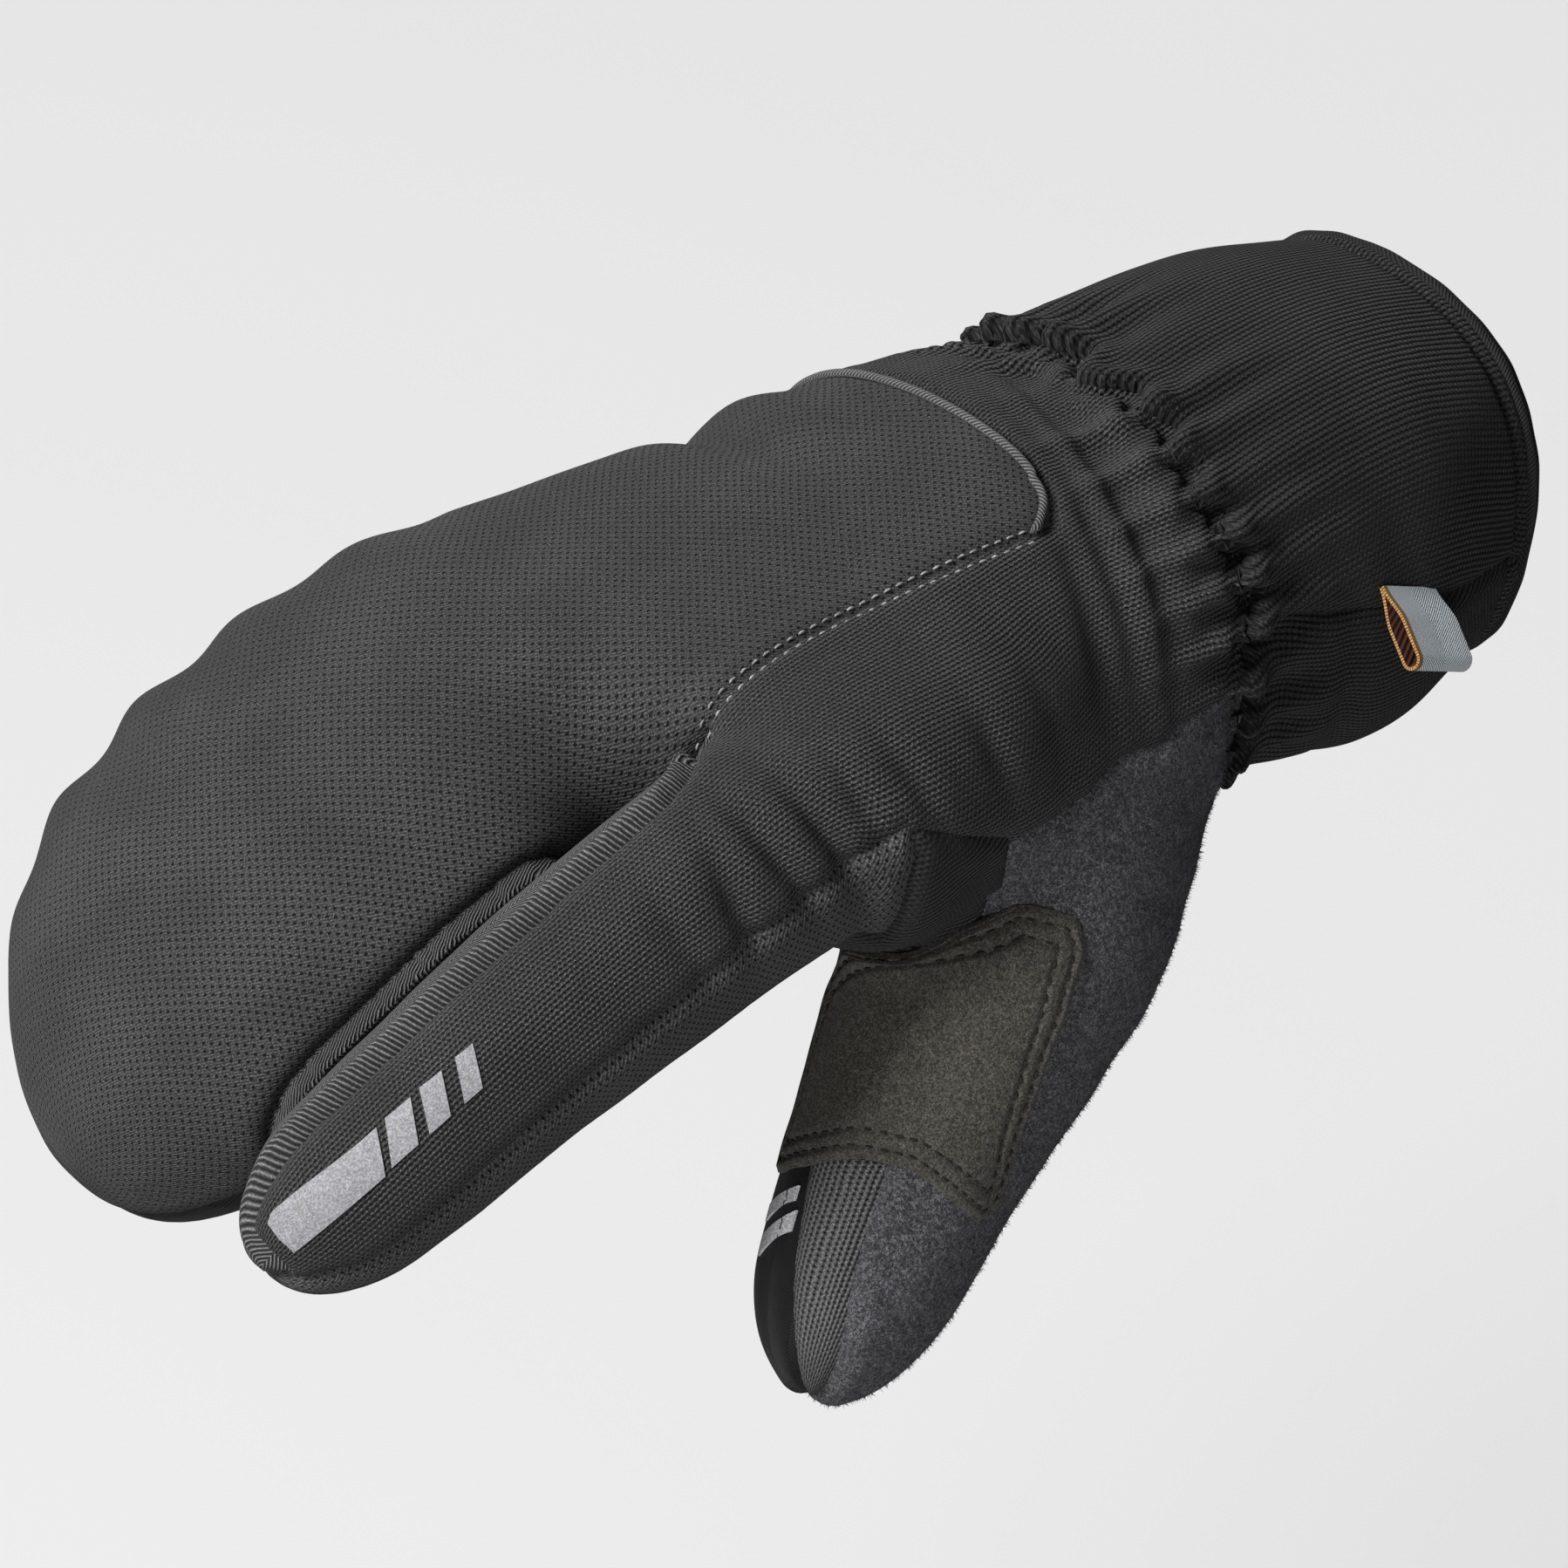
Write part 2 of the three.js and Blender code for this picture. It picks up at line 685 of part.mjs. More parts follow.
const pleats = { from: -0.45 * cuffLength, to: 0.11 * handLength };
const handStations = [
  ...stationsOf(hand, -cuffLength, pleats.from, 0.20 * cuffLength).slice(0, -1),
  ...stationsOf(hand, pleats.from, pleats.to, 0.028 * handLength).slice(0, -1),
  ...stationsOf(hand, pleats.to, handLength, 0.039 * handLength),
];
const handCount = (at) => (
  at > pleats.from && at < pleats.to ? pleatCount * pointsPerPleat : plainPoints
);
const handForm = tubeSolid(hand, handStations, handCount, 0, true);

// The hollow follows the form one wall further in, and runs out through the rim.
function liningOf(tube, stations) {
  return tubeSolid(tube, stations, () => liningPoints, -wall, false);
}
const shoulder = { from: 0.34 * handLength, to: 0.50 * handLength };
const hollow = join([
  liningOf(hand, [
    ...stationsOf(hand, -cuffLength - wall, shoulder.from, 0.12 * handLength).slice(0, -1),
    ...stationsOf(hand, shoulder.from, shoulder.to, 0.03 * handLength).slice(0, -1),
    ...stationsOf(hand, shoulder.to, handLength - wall, 0.10 * handLength, -wall),
  ]),
  liningOf(index, stationsOf(index, index.from + wall, indexLength - wall, 0.15 * indexLength, -wall)),
  liningOf(thumb, stationsOf(thumb, thumb.from + wall, thumbLength - wall, 0.15 * thumbLength, -wall)),
]);

// The stations of a list from one place to another, with both places among them.
function stretch(stations, from, to) {
  const margin = wall / 2;
  const kept = stations.filter((at) => at > from + margin && at < to - margin);
  return [from, ...kept, to];
}

// The slices of each finger. The ones that others fit round come plain and grown by the gap
// of a seam, and the others run under their neighbours' edges before those are cut away.
const fullTurn = (seam) => (at) => seam(at) + 360;
const overrun = 4 * seamGap;

const fingerStations = stationsOf(index, index.from, indexLength, 0.075 * indexLength);

const crotchStation = crotchReach - indexReach + 0.01 * handLength;

function fingerSlices(offset) {
  const side = stretch(fingerStations, 0.05 * indexLength - offset, indexLength);
  const crotch = stretch(fingerStations, crotchStation - offset, indexLength);
  const { outer, inner, palmInner, palmOuter } = indexSeams;
  return {
    inner: sliceSolid(index, crotch, inner, palmInner, offset),
    outer: sliceSolid(index, side, palmOuter, fullTurn(outer), offset),
    palm: sliceSolid(index, crotch, palmInner, palmOuter, offset, overrun),
    back: sliceSolid(index, fingerStations, outer, inner, offset, overrun),
  };
}

const stripStart = 0.67 * thumbLength;
const thumbStations = stationsOf(thumb, 0, thumbLength, 0.095 * thumbLength);

function thumbSlices(offset) {
  const clear = halfGap - offset;
  const root = stretch(thumbStations, 0, stripStart - clear);
  const tip = stretch(thumbStations, stripStart + clear, thumbLength);
  const { palmOuter, stripOuter, stripInner } = thumbSeams;
  return {
    web: sliceSolid(thumb, root, stripOuter, stripInner, offset),
    strip: sliceSolid(thumb, tip, stripOuter, stripInner, offset),
    palm: sliceSolid(thumb, thumbStations, stripInner, fullTurn(palmOuter), offset, overrun),
    back: sliceSolid(thumb, thumbStations, palmOuter, stripOuter, offset, overrun),
  };
}

const finger = fingerSlices(0);
const fingerRoom = fingerSlices(seamGap);
const thumbPart = thumbSlices(0);
const thumbRoom = thumbSlices(seamGap);
const fingerSides = [fingerRoom.inner, fingerRoom.outer];
const fingerWhole = Object.values(fingerRoom);
const thumbSides = [thumbRoom.web, thumbRoom.strip];
const thumbWhole = Object.values(thumbRoom);
const thumbPalm = without(thumbPart.palm, [...thumbSides, hollow]);

const handZone = handPlan(halfGap);
const backZone = overSeam(sideSeam, halfGap);
const palmZone = underSeam(sideSeam, -halfGap);

const panels = {
  cuff_back: without(within(handForm, [cuffPlan(halfGap), backZone]), [hollow]),
  cuff_palm: without(within(handForm, [cuffPlan(halfGap), palmZone]), [hollow]),
  pouch_back: without(
    within(handForm, [pouchPlan(-halfGap), backZone]),
    [...fingerWhole, hollow],
  ),
  pouch_fourchette: without(
    within(handForm, [pouchSidePlan(-halfGap), overSeam(stripSeam, halfGap)]),
    [...fingerWhole, hollow],
  ),
  hand_back: without(
    join([
      without(within(handForm, [handZone, backZone]), [
        pouchPlan(halfGap), pouchSidePlan(halfGap), fingerRoom.palm,
      ]),
      finger.back,
    ]),
    [...fingerSides, webRegion(halfGap), hollow, ...thumbWhole],
  ),
  palm: without(
    join([
      without(within(handForm, [handZone, palmZone]), [
        within(pouchSidePlan(halfGap), [overSeam(stripSeam, -halfGap)]),
        fleecePlan(halfGap), fingerRoom.back,
      ]),
      finger.palm,
    ]),
    [...fingerSides, webRegion(halfGap), hollow, ...thumbWhole],
  ),
  index_fourchette_inner: without(finger.inner, [hollow]),
  index_fourchette_outer: without(finger.outer, [hollow]),
  thumb_back: without(
    join([
      without(within(handForm, [handZone, palmZone, fleecePlan(-halfGap)]), [
        webRegion(halfGap),
      ]),
      thumbPart.back,
    ]),
    [...thumbSides, thumbRoom.palm, hollow],
  ),
  thumb_crotch_gusset: without(
    join([
      without(within(handForm, [webRegion(-halfGap)]), [
        ...fingerWhole, thumbRoom.back, thumbRoom.palm,
      ]),
      thumbPart.web,
    ]),
    [hollow],
  ),
  thumb_fourchette: without(thumbPart.strip, [hollow]),
  thumb_palm: thumbPalm,
};

// Pieces that lie on the panels

// The patch stops short of the fold between thumb and palm.
const patchRows = table(['at', 'from', 'to'], [
  [0.273, 134, 158],
  [0.30, 128, 164],
  [0.33, 126, 169],
  [0.36, 125, 175],
  [0.39, 123, 184],
  [0.42, 121, 205],
  [0.455, 119, 226],
  [0.51, 114, 234],
  [0.566, 108, 236],
  [0.63, 99, 238],
  [0.67, 98, 238],
  [0.695, 104, 236],
]).map(({ at, from, to }) => ({
  from: { at: at * thumbLength, around: from },
  to: { at: at * thumbLength, around: to },
  lift: patchLift,
}));

// Corners of a reflective bar: the stations where its near edge and its far edge start and
// end, as shares of the finger's length, and the angle of each.
const barColumns = ['nearStart', 'nearEnd', 'farStart', 'farEnd', 'near', 'far', 'spread'];

const indexBars = table(barColumns, [
  [0.812, 0.945, 0.781, 0.945, 42, 69, 14],
  [0.752, 0.805, 0.727, 0.760, 45, 68, 1],
  [0.706, 0.738, 0.676, 0.710, 44, 68, 1],
  [0.654, 0.684, 0.627, 0.656, 44, 67, 1],
]);
const thumbBars = table(barColumns, [
  [0.737, 0.758, 0.773, 0.797, 206, 236, 0],
  [0.769, 0.798, 0.815, 0.845, 202, 232, 0],
]);

// Rows of a bar from its start to its end. Its far edge may spread over some more degrees.
function barRows(length, bar) {
  const steps = bar.nearEnd - bar.nearStart > 0.1 ? 3 : 1;
  return Array.from({ length: steps + 1 }, (_, i) => i / steps).map((share) => ({
    from: {
      at: length * THREE.MathUtils.lerp(bar.nearStart, bar.nearEnd, share),
      around: bar.near,
    },
    to: {
      at: length * THREE.MathUtils.lerp(bar.farStart, bar.farEnd, share),
      around: bar.far + bar.spread * share,
    },
  }));
}

// Tube of round section along a smooth line of points.
function cord(points, thickness, closed, steps) {
  const line = new THREE.CatmullRomCurve3(points, closed);
  const shape = new THREE.Shape();
  shape.absarc(0, 0, thickness / 2, 0, 2 * Math.PI);
  return new THREE.ExtrudeGeometry(shape, {
    steps,
    curveSegments: 3,
    bevelEnabled: false,
    extrudePath: line,
  });
}

// The piping runs from the little finger's side across the back and round the corner.
function pipingPoints() {
  const lift = seatGap + pipingThickness / 2;
  const across = Array.from({ length: 12 }, (_, i) => [
    cornerReach,
    -0.98 * (1 - i / 12) ** 0.6 * hand.column.littleSide(cornerReach),
  ]);
  const route = [...across, ...cornerPoints(0)];
  return route.map(([reach, thumbward]) => (
    hand.point(reach, hand.backAngle(reach, thumbward), lift)
  ));
}

// The binding closes the raw edge of the cuff, over both of its halves.
function bindingPoints(count) {
  const at = -cuffLength - seatGap - bindingThickness / 2;
  return Array.from({ length: count }, (_, j) => (
    hand.point(at, j * 360 / count, -wall / 2)
  ));
}

// Folded tag in the cuff's thumb-side seam: two leaves, open at both ends. It stands out
// from the cuff, hangs down by labelSlope, and follows the seam's tilt.
function labelGeometry() {
  const at = -0.43 * cuffLength;
  const seam = hand.point(at, 6, seatGap);
  const { along, back } = hand.axes(at);
  const width = along.clone().applyAxisAngle(hand.side, labelTilt);
  const face = back.clone().applyAxisAngle(hand.side, labelTilt);
  face.applyAxisAngle(width, labelSlope);
  const drop = new THREE.Vector3().crossVectors(width, face);
  const outer = labelOpening / 2 + labelCloth;
  const outline = new THREE.Shape();
  outline.moveTo(-labelCloth, 0);
  outline.lineTo(labelCloth, 0);
  outline.lineTo(outer, -0.3 * labelDrop);
  outline.lineTo(outer, -labelDrop + outer);
  outline.absarc(0, -labelDrop + outer, outer, 0, -Math.PI, true);
  outline.lineTo(-outer, -0.3 * labelDrop);
  const inside = new THREE.Path();
  const inner = labelOpening / 2;
  inside.moveTo(0, -labelCloth * 2);
  inside.lineTo(-inner, -0.3 * labelDrop);
  inside.lineTo(-inner, -labelDrop + outer);
  inside.absarc(0, -labelDrop + outer, inner, Math.PI, 2 * Math.PI, false);
  inside.lineTo(inner, -0.3 * labelDrop);
  outline.holes.push(inside);
  const loop = new THREE.ExtrudeGeometry(outline, {
    depth: labelWidth, bevelEnabled: false, curveSegments: 5,
  });
  loop.translate(0, 0, -labelWidth / 2);
  const axes = new THREE.Matrix4().makeBasis(face, drop, width);
  loop.applyMatrix4(axes.setPosition(seam));
  return loop;
}

// Colours and surfaces

const cloth = (color, roughness, metalness = 0) => (
  new THREE.MeshStandardMaterial({ color, roughness, metalness })
);
const jersey = cloth(0x3a3a3c, 0.85);
const ribbedKnit = cloth(0x2c2c2e, 0.9);
const darkKnit = cloth(0x1f1f21, 0.9);
const twill = cloth(0x232326, 0.7);
const mesh = cloth(0x1c1c1e, 0.8);
const fleece = cloth(0x34353b, 1);
const satin = cloth(0x18181a, 0.5);
const suede = cloth(0x403e34, 0.95);
const reflective = cloth(0xa5a6a9, 0.45, 0.3);
const edging = cloth(0x2e2e31, 0.7);
const tagCloth = cloth(0x8d9094, 0.7);

const finishes = {
  cuff_back: ribbedKnit,
  cuff_palm: ribbedKnit,
  pouch_back: jersey,
  pouch_fourchette: twill,
  hand_back: ribbedKnit,
  palm: satin,
  index_fourchette_inner: twill,
  index_fourchette_outer: mesh,
  thumb_back: fleece,
  thumb_crotch_gusset: darkKnit,
  thumb_fourchette: ribbedKnit,
  thumb_palm: satin,
};

const mitt = new THREE.Group();

function addPiece(name, geometry, material) {
  const piece = new THREE.Mesh(geometry, material.clone());
  piece.name = name;
  mitt.add(piece);
}

for (const [name, solid] of Object.entries(panels)) {
  addPiece(name, largestPart(solid), finishes[name]);
}

// What lies on the mitt is cut to its seat, a small clearance off the cloth.
const seats = {
  hand: tubeSolid(hand, handStations, handCount, seatGap, true),
  index: tubeSolid(index, fingerStations, () => fingerPoints, seatGap, true),
  thumb: tubeSolid(thumb, thumbStations, () => fingerPoints, seatGap, true),
};
const seated = (solid, names) => largestPart(without(solid, names.map((name) => seats[name])));

const patch = overlay(thumb, patchRows, 8, patchThickness);
addPiece('saddle_patch', largestPart(patch), suede);
indexBars.forEach((bar, i) => {
  const solid = overlay(index, barRows(indexLength, bar), 3, seatGap + stripeThickness);
  addPiece(`index_stripe_${i + 1}`, seated(solid, ['index']), reflective);
});
thumbBars.forEach((bar, i) => {
  const solid = overlay(thumb, barRows(thumbLength, bar), 3, seatGap + stripeThickness);
  addPiece(`thumb_stripe_${i + 1}`, seated(solid, ['thumb']), reflective);
});
const piping = solidOf(cord(pipingPoints(), pipingThickness, false, 20));
addPiece('back_piping', seated(piping, ['hand', 'index']), edging);
addPiece('cuff_binding', cord(bindingPoints(20), bindingThickness, true, 30), edging);
addPiece('label_loop', seated(solidOf(labelGeometry()), ['hand']), tagCloth);

export default mitt;
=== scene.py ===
"""A winter lobster claw mitt for the right hand, dressed over its fixed frame.

The skin is the zero surface of three tubes that melt into each other. It is cut into the
sewn panels along their seams, and cords, patches, bars and stitches are laid on it.
Lengths are millimetres in the mitt's own axes (reach, thumbward, dorsal) until a mesh is
made, which holds metres in the frame's axes.
"""

from __future__ import annotations

import logging
from collections.abc import Callable, Sequence
from dataclasses import dataclass, field
from enum import Enum

import bpy
import numpy as np
from mathutils import Matrix, Vector


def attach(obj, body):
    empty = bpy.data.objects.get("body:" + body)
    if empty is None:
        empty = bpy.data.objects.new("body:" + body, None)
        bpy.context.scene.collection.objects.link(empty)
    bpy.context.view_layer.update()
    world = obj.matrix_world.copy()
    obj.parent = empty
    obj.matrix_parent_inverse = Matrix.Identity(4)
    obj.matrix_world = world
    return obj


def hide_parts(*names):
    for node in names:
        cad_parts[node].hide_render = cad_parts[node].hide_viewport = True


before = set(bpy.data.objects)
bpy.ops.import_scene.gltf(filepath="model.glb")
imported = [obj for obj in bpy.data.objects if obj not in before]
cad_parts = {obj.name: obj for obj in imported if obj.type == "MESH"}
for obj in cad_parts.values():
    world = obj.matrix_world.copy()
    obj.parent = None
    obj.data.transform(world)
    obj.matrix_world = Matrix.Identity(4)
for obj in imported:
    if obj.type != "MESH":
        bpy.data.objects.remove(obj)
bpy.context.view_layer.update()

log = logging.getLogger("mitt")

Array = np.ndarray
TO_FRAME = np.array([-0.001, -0.001, 0.001])
FULL_TURN = 2 * np.pi

HAND_LENGTH = 196.0
HAND_WIDTH = 104.0
HAND_DEPTH = 54.0
CUFF_LENGTH = 59.0
CUFF_WIDTH = 83.0
CUFF_DEPTH = 79.0
INDEX_LENGTH = 120.0
INDEX_WIDTH = 36.0
INDEX_DEPTH = 35.0
INDEX_START = .357 * HAND_LENGTH
INDEX_SIDE = .25 * HAND_WIDTH
THUMB_LENGTH = 116.0
THUMB_WIDTH = 50.0
THUMB_DEPTH = 49.0


def smooth_step(low: float, high: float, x: Array) -> Array:
    """Cubic ramp from 0 at low to 1 at high."""
    t = np.clip((x - low) / (high - low), 0, 1)
    return t * t * (3 - 2 * t)


def bell(x: Array) -> Array:
    """Gaussian bump of height 1 and half width about 0.83."""
    return np.exp(-x * x)


def turn_between(a: Array, b: Array | float) -> Array:
    """Difference of two angles in degrees, from -180 to 180."""
    return (a - b + 180) % 360 - 180


def unit(rows: Array) -> Array:
    """Rows scaled to length 1."""
    return rows / np.linalg.norm(rows, axis=-1, keepdims=True)


def run_along(line: Array) -> Array:
    """Length from the first point of a line to each of its points."""
    return np.concatenate([[0], np.cumsum(np.linalg.norm(np.diff(line, axis=0), axis=1))])


def smooth_rows(at: Array, value: Array, x: Array) -> Array:
    """Smooth curve through rows, with slopes weighted by the step lengths.

    Args:
        at: rising stations of the rows.
        value: value at each row.
        x: stations to read.
    Returns:
        Values of the cubic curve at x.
    """
    step = np.diff(at)
    rise = np.diff(value) / step
    slope = np.concatenate([
        rise[:1],
        (rise[:-1] * step[1:] + rise[1:] * step[:-1]) / (step[:-1] + step[1:]),
        rise[-1:],
    ])
    i = np.clip(np.searchsorted(at, x) - 1, 0, len(at) - 2)
    t = np.clip((x - at[i]) / step[i], 0, 1)
    s = 1 - t
    return (
        (1 + 2 * t) * s * s * value[i] + t * s * s * step[i] * slope[i]
        + t * t * (3 - 2 * t) * value[i + 1] - t * t * s * step[i] * slope[i + 1]
    )


def smooth_noise(points: Array, size: float, seed: int) -> Array:
    """Soft noise as a sum of waves in random directions.

    Args:
        points: places, (n, 3).
        size: typical length of a wave.
        seed: seed of the directions.
    Returns:
        Values of about -1 to 1, (n,).
    """
    rng = np.random.default_rng(seed)
    waves = rng.normal(size=(3, 14)) / size
    phase = rng.uniform(0, FULL_TURN, 14)
    return np.sin(points @ waves * 2.2 + phase).sum(1) / 5.3


@dataclass
class Fold:
    """A crease or a swelling: stations, widths and leans are shares of the length."""

    at: float
    around: float
    lean: float
    width: float
    spread: float
    depth: float


@dataclass
class Measure:
    """Where points lie about a tube: station, angle, height, distance and its radius there."""

    at: Array
    around: Array
    height: Array
    gap: Array
    radius: Array


@dataclass
class Tube:
    """A bent tube with rounded oval sections. Rows: at, bend, thumb, little, back, palm."""

    start: tuple[float, float, float]
    forward: tuple[float, float, float]
    up: tuple[float, float, float]
    rows: Array
    tip: float
    square: float
    length: float
    folds: list[Fold]
    root: float = 0.0

    def __post_init__(self) -> None:
        """Adds up the spine in short steps along the bending direction."""
        self.e1 = np.array(self.forward) / np.linalg.norm(self.forward)
        up = np.array(self.up) - self.e1 * (self.e1 @ np.array(self.up))
        self.e3 = up / np.linalg.norm(up)
        self.e2 = np.cross(self.e3, self.e1)
        at = self.rows[:, 0]
        self.stations = np.linspace(at[0], at[-1], 241)
        bend = np.radians(smooth_rows(at, self.rows[:, 1], self.stations))
        along = np.cos(bend)[:, None] * self.e1 - np.sin(bend)[:, None] * self.e3
        step = self.stations[1] - self.stations[0]
        spine = np.vstack([np.zeros(3), np.cumsum((along[1:] + along[:-1]) / 2 * step, 0)])
        middle = np.array([np.interp(0, self.stations, spine[:, k]) for k in range(3)])
        self.spine = spine - middle + np.array(self.start)
        self.bend = bend

    def axes(self, at: Array) -> tuple[Array, Array, Array]:
        """Spine point, direction along and direction to the back at stations.

        Args:
            at: stations along the tube.
        Returns:
            Points, directions along and directions to the back.
        """
        inside = np.clip(at, self.stations[0], self.stations[-1])
        point = np.stack([np.interp(inside, self.stations, self.spine[:, k]) for k in range(3)], -1)
        bend = np.interp(inside, self.stations, self.bend)[..., None]
        along = np.cos(bend) * self.e1 - np.sin(bend) * self.e3
        back = np.sin(bend) * self.e1 + np.cos(bend) * self.e3
        return point + (at - inside)[..., None] * along, along, back

    def sizes(self, at: Array) -> tuple[Array, Array, Array, Array]:
        """Middle, half width, back and palm heights of the sections at stations.

        Args:
            at: stations along the tube.
        Returns:
            Four arrays of millimetres.
        """
        row = self.rows
        thumb, little, back, palm = (
            smooth_rows(row[:, 0], row[:, k], at) for k in (2, 3, 4, 5)
        )
        return (thumb - little) / 2, (thumb + little) / 2, back, palm

    def fold_depth(self, at: Array, around: Array) -> Array:
        """Depth of all folds at stations and angles, above nought where it sinks.

        Args:
            at: stations along the tube.
            around: angles about it in degrees.
        Returns:
            Depths in millimetres.
        """
        depth = np.zeros_like(at)
        for fold in self.folds:
            turn = turn_between(around, fold.around)
            offset = at - (fold.at + fold.lean * turn / 90) * self.length
            across = bell(offset / (fold.width * self.length))
            depth += fold.depth * across * bell(turn / fold.spread)
        return depth

    def point(self, at: Array, around: Array, lift: Array | float = 0.0) -> Array:
        """Points of the plain tube.

        Args:
            at: stations.
            around: angles in degrees.
            lift: distance off the surface.
        Returns:
            Points, with one more axis than the stations.
        """
        middle, half, back, palm = self.sizes(at)
        t = np.clip((at - self.stations[-1] + self.tip) / self.tip, 0, 1)
        k = np.maximum(1 - t ** self.square, 0) ** (1 / self.square)
        turn = np.radians(around)
        c = np.sign(np.cos(turn)) * np.abs(np.cos(turn)) ** (2 / self.square)
        s = np.sign(np.sin(turn)) * np.abs(np.sin(turn)) ** (2 / self.square)
        spine, _, up = self.axes(at)
        height = np.where(s > 0, back, palm) * k + lift
        side = middle + (half * k + lift) * c
        return spine + self.e2 * side[..., None] + up * (height * s)[..., None]

    def measure(self, points: Array) -> Measure:
        """Station, angle and distance of points.

        The distance is r (1 - 1/q), where q is the length in the rounded oval's own norm.

        Args:
            points: places in the mitt's own axes, (n, 3).
        Returns:
            Their measures about this tube.
        """
        at = np.interp(points @ self.e1, self.spine @ self.e1, self.stations)
        for _ in range(6):
            spine, along, _ = self.axes(at)
            at = at + 0.85 * ((points - spine) * along).sum(-1)
        spine, along, back_axis = self.axes(at)
        offset = points - spine
        side = offset @ self.e2
        height = (offset * back_axis).sum(-1)
        middle, half, back, palm = self.sizes(at)
        x = (side - middle) / half
        y = height / np.where(height > 0, back, palm)
        past = np.clip((at - self.stations[-1] + self.tip) / self.tip, 0, None)
        before = np.clip((self.stations[0] + self.root - at) / max(self.root, 1e-3), 0, None)
        before = before if self.root else np.zeros_like(at)
        norm = np.abs(x) ** self.square + np.abs(y) ** self.square
        norm = (norm + past ** self.square + before ** self.square) ** (1 / self.square)
        reach = np.sqrt((side - middle) ** 2 + height ** 2 + (past * self.tip) ** 2
                        + (before * self.root) ** 2)
        power = self.square / 2
        around = np.degrees(np.arctan2(np.sign(y) * np.abs(y) ** power,
                                       np.sign(x) * np.abs(x) ** power)) % 360
        gap = reach * (1 - 1 / np.maximum(norm, 1e-3))
        return Measure(at, around, height, gap, (half + (back + palm) / 2) / 2)


def rows_of(length: float, width: float, depth: float, rows: Sequence[Sequence[float]]) -> Array:
    """Rows of shares turned into millimetres: at, bend, thumb, little, back, palm."""
    return np.array(rows) * np.array([length, 1, width, width, depth, depth])


def soft_least(a: Array, b: Array, blend: Array | float) -> Array:
    """The lesser of two distances, rounded where they differ by less than the blend."""
    h = np.maximum(blend - np.abs(a - b), 0) / blend
    return np.minimum(a, b) - h * h * blend / 4


# Rows: at, around, lean, width, spread, depth.
HAND_FOLDS = (
    (.045, 80, -.06, .010, 48, 2.0), (.072, 62, -.055, .012, 50, 3.5),
    (.110, 50, -.065, .015, 44, 3.4),
    (.150, 38, -.07, .017, 40, 2.4), (.19, 150, 0, .022, 40, -1.9), (.245, 140, 0, .020, 45, 2.8),
    (.235, 20, 0, .014, 30, 1.2), (-.09, -20, .06, .016, 30, 1.4), (-.13, 10, .05, .02, 30, .8),
    (.29, 60, .02, .03, 20, .5),
)
INDEX_FOLDS = (
    (-.10, 25, .02, .020, 32, 2.0), (.02, 35, .03, .018, 36, 2.4), (.09, 42, .01, .014, 30, 1.5),
    (.145, 40, .02, .017, 40, 2.7), (.21, 45, .02, .017, 42, 2.6), (.28, 35, -.03, .020, 38, 2.5),
    (.36, 40, -.01, .02, 34, 1.1), (.46, 50, .02, .03, 34, .9),
)
THUMB_FOLDS = (
    (.30, 165, 0, .05, 40, 1.0), (.56, 150, 0, .04, 40, .6), (.20, 100, .05, .03, 40, .8),
    (.42, 80, .04, .05, 40, .5),
)
PLEATS = 27
SCALLOPS = 5
GATHER_FADE = (15.0, 11.0)
MELT = 11.0
SPLIT_START = 91.5
SPLIT_DEPTH = 6.5


